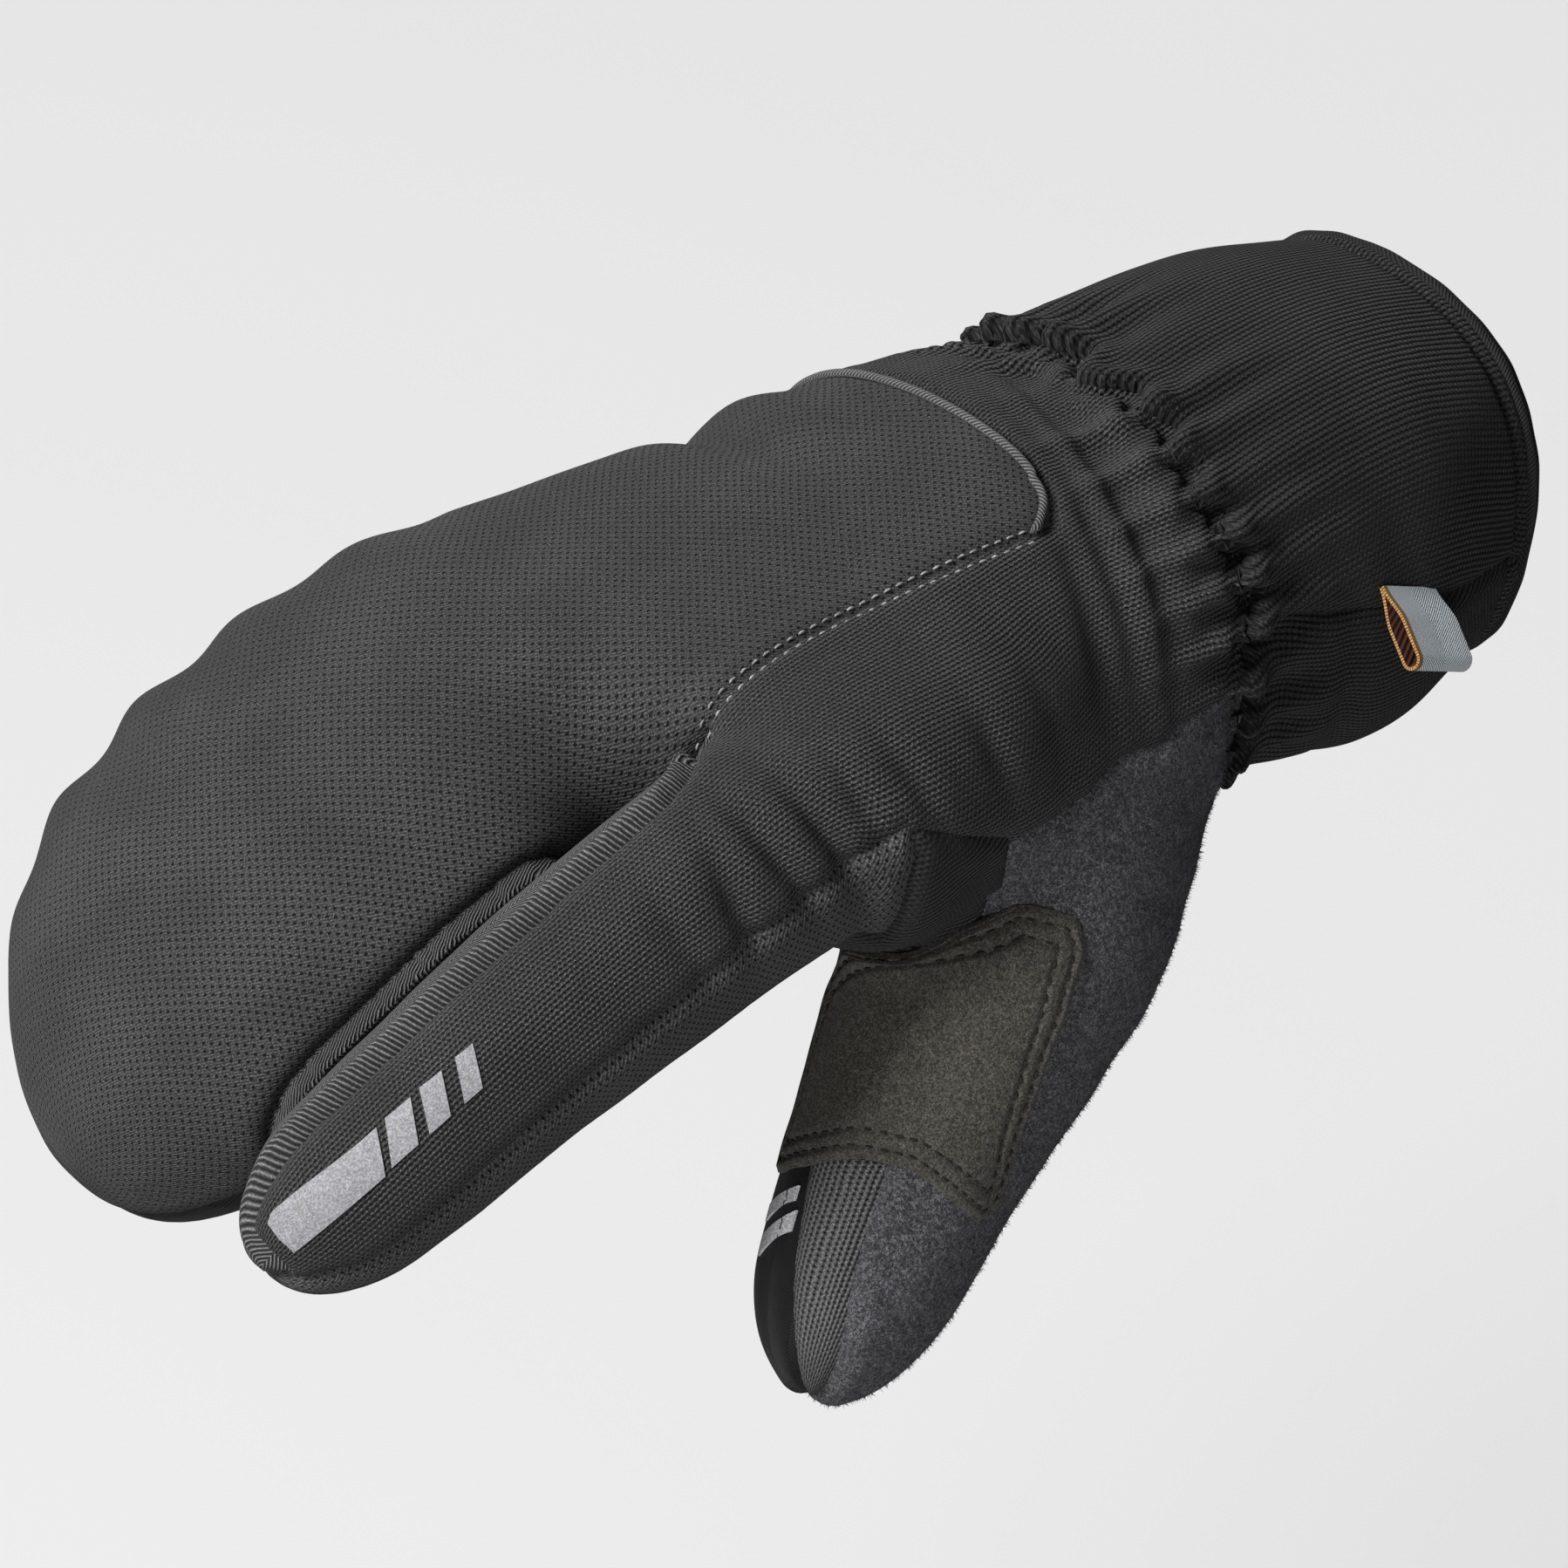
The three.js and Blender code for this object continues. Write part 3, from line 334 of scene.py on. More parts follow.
class Form:
    """The whole skin: hand with cuff, index finger and thumb, with folds and pleats."""

    def __init__(self) -> None:
        """Sets up the three tubes from their tables."""
        hand = np.vstack([
            rows_of(CUFF_LENGTH, CUFF_WIDTH, CUFF_DEPTH, [
                [-1.12, -6, .415, .405, .405, .445], [-1.00, -6, .43, .42, .42, .46],
                [-.55, -5, .52, .49, .47, .53],
                [-.20, -3, .50, .50, .45, .49]]),
            rows_of(HAND_LENGTH, HAND_WIDTH, HAND_DEPTH, [
                [.01, -1, .375, .395, .615, .64], [.08, 1, .385, .465, .635, .58],
                [.17, 2, .385, .515, .610, .53], [.31, 4, .413, .615, .545, .48],
                [.425, 7, .375, .690, .510, .45], [.485, 10, .075, .715, .495, .43],
                [.60, 18, .060, .755, .465, .41], [.75, 26, .050, .755, .420, .39],
                [.89, 32, .045, .670, .385, .37], [1.0, 34, .030, .545, .340, .33]]),
        ])
        folds = ([Fold(*row) for row in rows] for rows in (HAND_FOLDS, INDEX_FOLDS, THUMB_FOLDS))
        hand_folds, index_folds, thumb_folds = folds
        self.hand = Tube((0, 0, 0), (1, 0, 0), (0, 0, 1), hand, .215 * HAND_LENGTH, 2.4,
                         HAND_LENGTH, hand_folds)
        self.index = Tube((INDEX_START, INDEX_SIDE, .093 * HAND_DEPTH),
                          (.998, -.06, 0), (0, 0, 1),
                          rows_of(INDEX_LENGTH, INDEX_WIDTH, INDEX_DEPTH, [
                              [-.25, 0, .39, .39, .46, .46], [0, 4, .50, .44, .52, .49],
                              [.25, 15, .50, .42, .50, .49], [.58, 23, .46, .42, .44, .44],
                              [1, 26, .35, .35, .35, .36]]),
                          .17 * INDEX_LENGTH, 2.3, INDEX_LENGTH, index_folds, root=16.0)
        self.thumb = Tube((.117 * HAND_LENGTH, .173 * HAND_WIDTH, -.222 * HAND_DEPTH),
                          (.70, .27, -.66), (-.36, .93, .01),
                          rows_of(THUMB_LENGTH, THUMB_WIDTH, THUMB_DEPTH, [
                              [-.08, 0, .40, .40, .37, .29], [0, 0, .48, .48, .45, .37],
                              [.30, 0, .50, .50, .56, .43], [.60, 0, .40, .40, .41, .37],
                              [1, 0, .28, .28, .25, .29]]),
                          .207 * THUMB_LENGTH, 2.3, THUMB_LENGTH, thumb_folds, root=12.0)

    def gather(self, at: Array, around: Array, points: Array) -> tuple[Array, Array]:
        """Distance from the zigzag wrist seam towards the fingers, and the pleats' wave.

        Args:
            at: stations along the tube.
            around: angles about it in degrees.
            points: places in the mitt's own axes, (n, 3).
        Returns:
            Distances, and the wave from -1 in a groove to 1 on a pleat.
        """
        wander = 120 * smooth_noise(points * [.2, 1, 1], 26, 5)
        wave = np.cos(np.radians(around * PLEATS + wander))
        line = .006 * HAND_LENGTH + .09 * self.hand_side(around)
        zigzag = 2.6 * wave + 1.6 * smooth_noise(points * [.1, 1, 1], 13, 6)
        return at - line - zigzag, wave

    def ripple(self, at: Array, around: Array, points: Array) -> Array:
        """Depth of the pleats drawn up at the wrist and of the scallops on the far side.

        Args:
            at: stations along the tube.
            around: angles about it in degrees.
            points: places in the mitt's own axes, (n, 3).
        Returns:
            Depths in millimetres, above nought where the cloth sinks.
        """
        gather, wave = self.gather(at, around, points)
        fade = bell(gather / np.where(gather < 0, GATHER_FADE[0], GATHER_FADE[1]))
        tall = 1.6 + 1.1 * smooth_noise(points, 15, 7)
        pleat = -tall * fade * (wave - .25 * (1 - wave * wave))
        roll = -(1.3 + .8 * wave) * bell((gather + 3.0) / 2.7)
        pit = (2.0 - .9 * wave) * bell((gather - 1.2) / 1.5)
        share = (at / HAND_LENGTH - .42) / .5
        inside = np.sqrt(np.sin(np.pi * np.clip(share, 0, 1)))
        scallop = 1.4 * inside * np.sin(FULL_TURN * SCALLOPS * share)
        scallop = scallop * bell(turn_between(around, 175) / 50)
        return pleat + roll + pit + scallop

    def hand_side(self, around: Array) -> Array:
        """Rough thumbward distance of an angle about the wrist."""
        return 40 * np.cos(np.radians(around))

    def measures(self, points: Array) -> tuple[Measure, Measure, Measure]:
        """Measures of points about hand, index finger and thumb."""
        return self.hand.measure(points), self.index.measure(points), self.thumb.measure(points)

    def gap(self, points: Array) -> Array:
        """Distance of points from the skin, below nought inside it.

        Args:
            points: places in the mitt's own axes, (n, 3).
        Returns:
            Distances in millimetres, (n,).
        """
        hand, index, thumb = self.measures(points)
        relief = self.ripple(hand.at, hand.around, points)
        hand_gap = hand.gap + self.hand.fold_depth(hand.at, hand.around) + relief
        index_gap = index.gap + self.index.fold_depth(index.at, index.around)
        thumb_gap = thumb.gap + self.thumb.fold_depth(thumb.at, thumb.around)
        beyond = smooth_step(84, 104, points[:, 0])
        body = soft_least(hand_gap, index_gap, MELT - 5 * beyond)
        split = SPLIT_DEPTH * bell((hand.gap - index.gap) / 3.6) * smooth_step(-8.5, -4, body)
        whole = soft_least(body + split * smooth_step(90, 96, points[:, 0]), thumb_gap, MELT)
        swell = .45 * smooth_noise(points, 24, 11) + .2 * smooth_noise(points, 9, 12)
        return whole + swell * .6

    def envelope(self, points: Array) -> Array:
        """Distance from the plain melted tubes, without folds or the split."""
        hand, index, thumb = self.measures(points)
        return soft_least(soft_least(hand.gap, index.gap, MELT), thumb.gap, MELT)

    def slope(self, points: Array) -> tuple[Array, Array]:
        """Distance and its gradient by steps of half a tenth of a millimetre.

        Args:
            points: places in the mitt's own axes, (n, 3).
        Returns:
            Distances, (n,), and gradients, (n, 3).
        """
        step = .05
        here = self.gap(points)
        grown = [self.gap(points + step * np.eye(3)[k]) for k in range(3)]
        return here, np.stack([(g - here) / step for g in grown], -1)

    def settle(self, points: Array, lift: Array | float = 0.0, rounds: int = 3) -> Array:
        """Moves points along the gradient until they lie a lift off the skin.

        Args:
            points: places in the mitt's own axes, (n, 3).
            lift: distance off the skin.
            rounds: number of moves.
        Returns:
            The moved points.
        """
        for _ in range(rounds):
            here, slope = self.slope(points)
            square = np.maximum((slope ** 2).sum(-1), .2)
            move = (here - lift) / square
            points = points - np.clip(move, -3, 3)[:, None] * slope
        return points

    def normals(self, points: Array) -> Array:
        """Unit directions out of the skin."""
        _, slope = self.slope(points)
        return unit(slope)


@dataclass
class Solid:
    """A closed mesh in millimetres: points, faces, their places on the cloth and finishes."""

    points: Array
    faces: list
    uv: Array
    slot: Array
    sharp: Array = field(default_factory=lambda: np.zeros((0, 2), int))


def new_object(name: str, solid: Solid) -> bpy.types.Object:
    """Makes a mesh object from a solid in the mitt's own axes.

    Args:
        name: name of the piece.
        solid: its mesh; the places on the cloth are stored divided by 100.
    Returns:
        The object, linked to the scene and riding on the root.
    """
    mesh = bpy.data.meshes.new(name)
    mesh.from_pydata((solid.points * TO_FRAME).tolist(), [], solid.faces)
    mesh.polygons.foreach_set("use_smooth", np.ones(len(mesh.polygons), bool))
    mesh.polygons.foreach_set("material_index", solid.slot.astype(np.int32))
    corner = np.empty(len(mesh.loops), np.int32)
    mesh.loops.foreach_get("vertex_index", corner)
    layer = mesh.uv_layers.new(name="cloth")
    layer.data.foreach_set("uv", (solid.uv[corner] / 100).astype(np.float32).ravel())
    if len(solid.sharp):
        ends = np.empty(len(mesh.edges) * 2, np.int32)
        mesh.edges.foreach_get("vertices", ends)
        count = len(solid.points)
        ends = np.sort(ends.reshape(-1, 2), 1).astype(np.int64)
        sharp = np.sort(solid.sharp, 1).astype(np.int64)
        mark = np.isin(ends[:, 0] * count + ends[:, 1], sharp[:, 0] * count + sharp[:, 1])
        mesh.attributes.new("sharp_edge", "BOOLEAN", "EDGE").data.foreach_set("value", mark)
    mesh.update()
    thing = bpy.data.objects.new(name, mesh)
    bpy.context.scene.collection.objects.link(thing)
    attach(thing, "root")
    return thing


def shell_of(points: Array, faces: Array, normals: Array, wall: float, uv: Array,
             rim_slot: int = 0) -> Solid:
    """Thickens a sheet inwards: inner point = point - normal x wall, joined along the rim.

    Args:
        points: (n, 3) points of the outer side.
        faces: rows of point numbers, turned outwards.
        normals: unit directions out of the sheet.
        wall: thickness in millimetres.
        uv: (n, 2) places on the cloth in millimetres.
        rim_slot: finish of the rim; the outer side has 0 and the inner side 1.
    Returns:
        The closed solid, sharp along both edges of the rim.
    """
    count = len(points)
    ends = np.stack([faces, np.roll(faces, -1, 1)], -1).reshape(-1, 2).astype(np.int64)
    edge = ends[~np.isin(ends[:, 0] * count + ends[:, 1], ends[:, 1] * count + ends[:, 0])]
    rim = np.stack([edge[:, 1], edge[:, 0], edge[:, 0] + count, edge[:, 1] + count], -1)
    slot = np.repeat([0, 1, rim_slot], [len(faces), len(faces), len(rim)])
    return Solid(np.vstack([points, points - normals * wall]),
                 faces.tolist() + (faces[:, ::-1] + count).tolist() + rim.tolist(),
                 np.vstack([uv, uv]), slot, np.vstack([edge, edge + count]))


def grid_faces(rows: int, columns: int, wrap_rows: bool = False,
               wrap_columns: bool = False) -> Array:
    """Quads of a grid of points, row after row, joined up at the ends where asked.

    Args:
        rows: rows of points.
        columns: points in a row.
        wrap_rows: whether the last row meets the first.
        wrap_columns: whether the last column meets the first.
    Returns:
        Rows of four point numbers.
    """
    i = np.arange(rows if wrap_rows else rows - 1)
    j = np.arange(columns if wrap_columns else columns - 1)
    a, b = np.meshgrid(i, j, indexing="ij")
    a2, b2 = (a + 1) % rows, (b + 1) % columns
    quads = [a * columns + b, a2 * columns + b, a2 * columns + b2, a * columns + b2]
    return np.stack(quads, -1).reshape(-1, 4)


def cord_of(path: Array, normals: Array, radius: Array, sides: int = 10) -> Solid:
    """Round cord along a path: ring = path + radius (across cos + up sin), with poles.

    Args:
        path: (n, 3) points.
        normals: directions that keep the rings from twisting.
        radius: radius at each point.
        sides: points around.
    Returns:
        The closed cord. Its places run along it and to and fro around it.
    """
    along = unit(np.gradient(path, axis=0))
    across = unit(np.cross(along, normals))
    up = np.cross(across, along)
    turn = np.arange(sides) * FULL_TURN / sides
    ring = path[:, None] + radius[:, None, None] * (
        across[:, None] * np.cos(turn)[:, None] + up[:, None] * np.sin(turn)[:, None])
    far = run_along(path)
    uv = np.stack(np.broadcast_arrays(far[:, None], radius.mean() * np.abs(turn - np.pi)), -1)
    rows = len(path)
    j = np.arange(sides)
    nexts = (j + 1) % sides
    last = (rows - 1) * sides
    caps = np.vstack([np.stack([0 * j + rows * sides, j, nexts], -1),
                      np.stack([0 * j + rows * sides + 1, last + nexts, last + j], -1)])
    faces = grid_faces(rows, sides, wrap_columns=True).tolist() + caps.tolist()
    points = np.vstack([ring.reshape(-1, 3), path[:1] - along[:1] * radius[0] * .6,
                        path[-1:] + along[-1:] * radius[-1] * .6])
    return Solid(points, faces, np.vstack([uv.reshape(-1, 2), uv[0, :1], uv[-1, :1]]),
                 np.zeros(len(faces), int))


def even_steps(line: Array, step: float) -> Array:
    """Points at equal steps along a line of points.

    Args:
        line: points of the line, of any dimension.
        step: distance between the steps.
    Returns:
        The new points.
    """
    far = run_along(line)
    at = np.arange(step / 2, far[-1], step)
    return np.stack([np.interp(at, far, line[:, k]) for k in range(line.shape[1])], -1)


def stitches_of(places: Array, along: Array, normals: Array, length: float,
                radius: float) -> Solid:
    """Small arched threads: rings at shares s of the half length, sunk by a third of s x s.

    Args:
        places: middles of the stitches.
        along: directions of the thread.
        normals: directions out of the cloth.
        length: length of a stitch.
        radius: radius of the thread.
    Returns:
        All the stitches as one mesh of closed capsules.
    """
    share = np.array([-1, -.82, -.3, .3, .82, 1])
    thick = np.array([.05, .75, 1, 1, .75, .05])
    turn = np.arange(6) * FULL_TURN / 6
    side = unit(np.cross(along, normals))
    up = np.cross(side, along)
    spine = (places[:, None] + along[:, None] * (share * length / 2)[:, None]
             - up[:, None] * (.33 * length / 2 * share ** 2)[:, None])
    ring = side[:, None, None] * np.cos(turn)[:, None] + up[:, None, None] * np.sin(turn)[:, None]
    points = spine[:, :, None] + ring * (radius * thick)[:, None, None]
    one = grid_faces(6, 6, wrap_columns=True).tolist()
    one += [[0, 1, 2, 3, 4, 5], [35, 34, 33, 32, 31, 30]]
    count = len(places)
    base = np.arange(count) * 36
    quads = (np.array(one[:30])[None] + base[:, None, None]).reshape(-1, 4).tolist()
    ends = (np.array(one[30:])[None] + base[:, None, None]).reshape(-1, 6).tolist()
    uv = np.broadcast_to(np.stack(np.broadcast_arrays(share[:, None] * length, turn * radius), -1),
                         (count, 6, 6, 2))
    return Solid(points.reshape(-1, 3), quads + ends, uv.reshape(-1, 2),
                 np.zeros(len(quads) + len(ends), int))


class Seam(Enum):
    """Fields whose nought lines are the seams."""

    GATHER = 0
    SIDE = 1
    THUMB = 2
    INDEX = 3
    POUCH = 4
    STRIP = 5
    FLEECE = 6
    WEB = 7
    INDEX_OUTER = 8
    INDEX_INNER = 9
    INDEX_PALM_IN = 10
    INDEX_PALM_OUT = 11
    THUMB_OUTER = 12
    THUMB_INNER = 13
    THUMB_PALM = 14
    THUMB_START = 15
    RIM = 16
    CROTCH = 17
    INDEX_ROOT = 18


PANELS = (
    "cuff_back", "cuff_palm", "pouch_back", "pouch_fourchette", "hand_back", "palm",
    "index_fourchette_inner", "index_fourchette_outer", "thumb_back",
    "thumb_crotch_gusset", "thumb_fourchette", "thumb_palm",
)


GRID_LOW = (-72.0, -86.0, -104.0)
GRID_HIGH = (202.0, 88.0, 52.0)
SEAM_REACH = 12.0
ON_LINE = .16
STRIP_WIDTH = 3.8
YOKE_CORNER = 7.8
WEB_START = 58.2
WEB_END = 86.2
WEB_SIDE = 26.0
WEB_LOW = -21.6
TIP_CAP = .982 * INDEX_LENGTH
ROOT_SHARE = .21
# Seam on the thumb side of the pouch: reach, side. Seam across the back: side, reach.
POUCH_EDGE = ((31, 18.9), (41.4, 16.7), (51.8, 14.5), (65.5, 12.3), (75.2, 11.7), (84.4, 11.9),
              (92, 12.2), (176, 12.2))
YOKE_EDGE = ((-52, 27.5), (-29.9, 25.6), (-16, 24.2), (-6.3, 23.4), (1.7, 23.0), (7.7, 23.2),
             (14.6, 24.0))


class Skin:
    """The cut-up skin: a fine mesh on the form, split along its seams into panels."""

    step = 1.1
    coarse = 4

    def __init__(self, form: Form) -> None:
        """Meshes the form, cuts it along the seams and sinks the seams.

        Args:
            form: the skin's shape.
        """
        self.form = form
        self.points, self.faces = self.mesh_form()
        self.fields = self.seam_fields(self.points)
        for seam in Seam:
            self.cut(seam.value)
        self.label = self.panel_of_faces()
        self.join_scraps()
        self.faces = self.faces[self.label >= 0]
        self.label = self.label[self.label >= 0]
        self.edge_gap = self.distance_to_seams()
        self.sink_seams()

    def sample(self) -> tuple[Array, Array]:
        """Reads the form on a grid: exactly near the skin, and roughly elsewhere.

        Returns:
            Values on the grid, and the place of its first point.
        """
        low = np.array(GRID_LOW)
        n = self.coarse
        count = np.ceil((np.array(GRID_HIGH) - low) / self.step / n).astype(int)
        block = np.stack(np.meshgrid(*[np.arange(c) for c in count], indexing="ij"), -1)
        rough = self.form.envelope(low + (block.reshape(-1, 3) * n + (n - 1) / 2) * self.step)
        rough = rough.reshape(count)
        value = rough.repeat(n, 0).repeat(n, 1).repeat(n, 2)
        near = ((rough > -11) & (rough < 7)).repeat(n, 0).repeat(n, 1).repeat(n, 2)
        value[near] = self.form.gap(low + np.argwhere(near) * self.step)
        return value, low

    def mesh_form(self) -> tuple[Array, Array]:
        """Meshes the nought surface of the form.

        A cell whose corners differ in sign gets a point at the mean of its edges'
        crossings, and each crossed grid edge joins the points of the four cells around it.

        Returns:
            Points and triangles of one closed skin.
        """
        value, low = self.sample()
        inside = value < 0
        corners = np.stack(np.meshgrid([0, 1], [0, 1], [0, 1], indexing="ij"), -1).reshape(-1, 3)
        size = np.array(value.shape) - 1
        parts = [inside[a:a + size[0], b:b + size[1], c:c + size[2]] for a, b, c in corners]
        total = sum(part.astype(np.int8) for part in parts)
        active = (total > 0) & (total < 8)
        cells = np.argwhere(active)
        number = np.full(active.shape, -1)
        number[active] = np.arange(len(cells))
        heights = [value[tuple((cells + corner).T)] for corner in corners]
        place = np.zeros((len(cells), 3))
        count = np.zeros(len(cells))
        for a in range(8):
            for b in range(a + 1, 8):
                if np.abs(corners[a] - corners[b]).sum() == 1:
                    crossed = (heights[a] < 0) != (heights[b] < 0)
                    share = np.where(crossed, heights[a] / (heights[a] - heights[b] + 1e-12), 0)
                    way = corners[b] - corners[a]
                    place += crossed[:, None] * (corners[a] + share[:, None] * way)
                    count += crossed
        points = low + (cells + place / count[:, None]) * self.step
        quads = []
        for axis in range(3):
            u, v = np.eye(3, dtype=int)[[(axis + 1) % 3, (axis + 2) % 3]]
            ahead = np.moveaxis(np.moveaxis(inside, axis, 0)[1:], 0, axis)
            behind = np.moveaxis(np.moveaxis(inside, axis, 0)[:-1], 0, axis)
            edge = np.argwhere(ahead != behind)
            within = (edge @ u > 0) & (edge @ v > 0) & (edge @ u < size @ u) & (edge @ v < size @ v)
            edge = edge[within]
            around = np.stack([number[tuple((edge - a * u - b * v).T)]
                               for a, b in ((1, 1), (0, 1), (0, 0), (1, 0))], -1)
            inwards = ahead[tuple(edge.T)]
            around[inwards] = around[inwards][:, ::-1]
            quads.append(around)
        quads = np.vstack(quads)
        one = np.linalg.norm(points[quads[:, 0]] - points[quads[:, 2]], axis=1)
        two = np.linalg.norm(points[quads[:, 1]] - points[quads[:, 3]], axis=1)
        quads[one > two] = np.roll(quads[one > two], -1, 1)
        triangles = np.vstack([quads[:, [0, 1, 2]], quads[:, [0, 2, 3]]])
        for _ in range(3):
            points = self.even_out(points, triangles)
            points = self.form.settle(points, rounds=1)
        return points, triangles

    def even_out(self, points: Array, triangles: Array) -> Array:
        """Moves each point halfway to the mean of its neighbours, along the skin only.

        Args:
            points: places in the mitt's own axes, (n, 3).
            triangles: rows of point numbers.
        Returns:
            The moved points.
        """
        total = np.zeros_like(points)
        count = np.zeros(len(points))
        for a, b in ((0, 1), (1, 2), (2, 0)):
            for one, other in ((a, b), (b, a)):
                near = triangles[:, one]
                for k in range(3):
                    total[:, k] += np.bincount(near, points[triangles[:, other], k], len(points))
                count += np.bincount(near, minlength=len(points))
        move = .5 * (total / count[:, None] - points)
        normal = self.point_normals(points, triangles)
        return points + move - normal * (move * normal).sum(-1, keepdims=True)

    @staticmethod
    def point_normals(points: Array, triangles: Array) -> Array:
        """Mean directions of the faces at each point, weighted by area.

        Args:
            points: places in the mitt's own axes, (n, 3).
            triangles: rows of point numbers.
        Returns:
            Unit directions, (n, 3).
        """
        a, b, c = (points[triangles[:, k]] for k in range(3))
        face = np.cross(b - a, c - a)
        total = np.zeros_like(points)
        for corner in range(3):
            for k in range(3):
                total[:, k] += np.bincount(triangles[:, corner], face[:, k], len(points))
        return total / np.maximum(np.linalg.norm(total, axis=-1, keepdims=True), 1e-9)

    @staticmethod
    def seam_on(measure: Measure, length: float, stations: list, angles: list) -> Array:
        """Distance around a tube from a line through shares of its length and angles."""
        angle = np.interp(measure.at / length, stations, angles)
        return np.radians(turn_between(measure.around, angle)) * measure.radius

    def seam_fields(self, points: Array) -> Array:
        """Values of every seam's field at points, about millimetres from its line.

        Args:
            points: places in the mitt's own axes, (n, 3).
        Returns:
            Values, one column for each seam.
        """
        hand, index, thumb = self.form.measures(points)
        reach, side, up = points.T
        lift_at = np.array([-1.3 * CUFF_LENGTH, -.6 * CUFF_LENGTH, 0, .05 * HAND_LENGTH,
                            .3 * HAND_LENGTH, HAND_LENGTH])
        lift = np.interp(hand.at, lift_at, [-7.9, 0, 7.9, -1.1, -1.6, -1.6])
        contact = hand.gap - index.gap
        line = np.interp(reach, *np.array(POUCH_EDGE).T)
        qx = np.interp(side, *np.array(YOKE_EDGE).T) + YOKE_CORNER - reach
        qy = side - (line - YOKE_CORNER)
        pouch = YOKE_CORNER - np.hypot(np.maximum(qx, 0), np.maximum(qy, 0)) \
            - np.minimum(np.maximum(qx, qy), 0)
        begun = reach - SPLIT_START
        wide = STRIP_WIDTH * np.sqrt(np.clip(begun / 5, 0, 1)) - 3 * np.maximum(-begun, 0)
        pouch_wide = wide * np.interp(reach, [92, 106, 122], [.7, 1.3, 1.6])
        pouch = soft_least(pouch, -contact - pouch_wide, 1.0)
        web_top = np.interp(reach, [WEB_START, 76, WEB_END], [-1.6, 10.3, 11.9])
        web = np.minimum.reduce([reach - WEB_START, WEB_END - reach, side - WEB_SIDE,
                                 up - WEB_LOW, web_top - up])

        seam_on = self.seam_on
        inner_edge = seam_on(index, INDEX_LENGTH, [.175, .19, .205, .23, .27, .5, .75, 1],
                             [152, 130, 118, 108, 101, 96, 97, 100])
        fields = {
            Seam.GATHER: self.form.gather(hand.at, hand.around, points)[0],
            Seam.SIDE: hand.height - lift,
            Seam.THUMB: np.minimum(hand.gap, index.gap) - thumb.gap,
            Seam.INDEX: contact,
            Seam.POUCH: pouch,
            Seam.STRIP: hand.height + .17 * HAND_DEPTH,
            Seam.FLEECE: np.minimum(WEB_START - reach, side - .21 * HAND_WIDTH),
            Seam.WEB: web,
            Seam.INDEX_OUTER: seam_on(index, INDEX_LENGTH, [.04, .2, .5, .9, 1], [18, 9, 4, -4, 8]),
            Seam.INDEX_INNER: np.maximum(
                -soft_least(contact - wide, -inner_edge, 2.0), index.at - TIP_CAP),
            Seam.INDEX_PALM_IN: seam_on(
                index, INDEX_LENGTH, [.3, .9, .98, 1], [205, 208, 198, 188]),
            Seam.INDEX_PALM_OUT: seam_on(index, INDEX_LENGTH, [.04, 1], [318, 322]),
            Seam.THUMB_OUTER: seam_on(thumb, THUMB_LENGTH, [.2, .62, .83, 1], [165, 168, 162, 140]),
            Seam.THUMB_INNER: seam_on(thumb, THUMB_LENGTH, [.2, .68, .83, 1], [215, 208, 196, 180]),
            Seam.THUMB_PALM: seam_on(thumb, THUMB_LENGTH, [0, 1], [290, 310]),
            Seam.THUMB_START: thumb.at - .67 * THUMB_LENGTH,
            Seam.RIM: hand.at + CUFF_LENGTH,
            Seam.CROTCH: begun,
            Seam.INDEX_ROOT: index.at - ROOT_SHARE * INDEX_LENGTH,
        }
        return np.stack([fields[seam] for seam in Seam], -1)

    def cut(self, number: int) -> None:
        """Splits every triangle that a field's nought line crosses.

        A triangle with one corner on its own side becomes three, and a corner that the
        line passes closely is taken to lie on it.

        Args:
            number: column of the seam's field.
        """
        value = self.fields[:, number].copy()
        value[np.abs(value) < ON_LINE] = 0
        side = np.sign(value)
        corner = side[self.faces]
        crossed = (corner.min(1) < 0) & (corner.max(1) > 0)
        ends = np.stack([self.faces, np.roll(self.faces, -1, 1)], -1)
        opposite = (side[ends[..., 0]] * side[ends[..., 1]] < 0) & crossed[:, None]
        opposite &= np.abs(value[ends[..., 0]] - value[ends[..., 1]]) < 30
        pairs = np.sort(ends[opposite], 1)
        if not len(pairs):
            return
        unique, back = np.unique(pairs, axis=0, return_inverse=True)
        back = back.reshape(-1)
        a, b = unique.T
        share = (value[a] / (value[a] - value[b]))[:, None]
        base = len(self.points)
        self.points, self.fields = (
            np.vstack([rows, rows[a] + share * (rows[b] - rows[a])])
            for rows in (self.points, self.fields))
        self.fields[base:, number] = 0
        middle = np.full(self.faces.shape, -1)
        middle[opposite] = base + back
        count = (middle >= 0).sum(1)
        kept = self.faces[count == 0]
        made = [kept]
        for turn in range(3):
            faces = np.roll(self.faces, -turn, 1)
            new = np.roll(middle, -turn, 1)
            one = (count == 1) & (new[:, 0] >= 0)
            f, m = faces[one], new[one]
            made += [np.stack([f[:, 0], m[:, 0], f[:, 2]], -1),
                     np.stack([m[:, 0], f[:, 1], f[:, 2]], -1)]
            two = (count == 2) & (new[:, 0] >= 0) & (new[:, 2] >= 0)
            f, m = faces[two], new[two]
            made += [np.stack([f[:, 0], m[:, 0], m[:, 2]], -1),
                     np.stack([m[:, 0], f[:, 1], f[:, 2]], -1),
                     np.stack([m[:, 0], f[:, 2], m[:, 2]], -1)]
        self.faces = np.vstack(made)

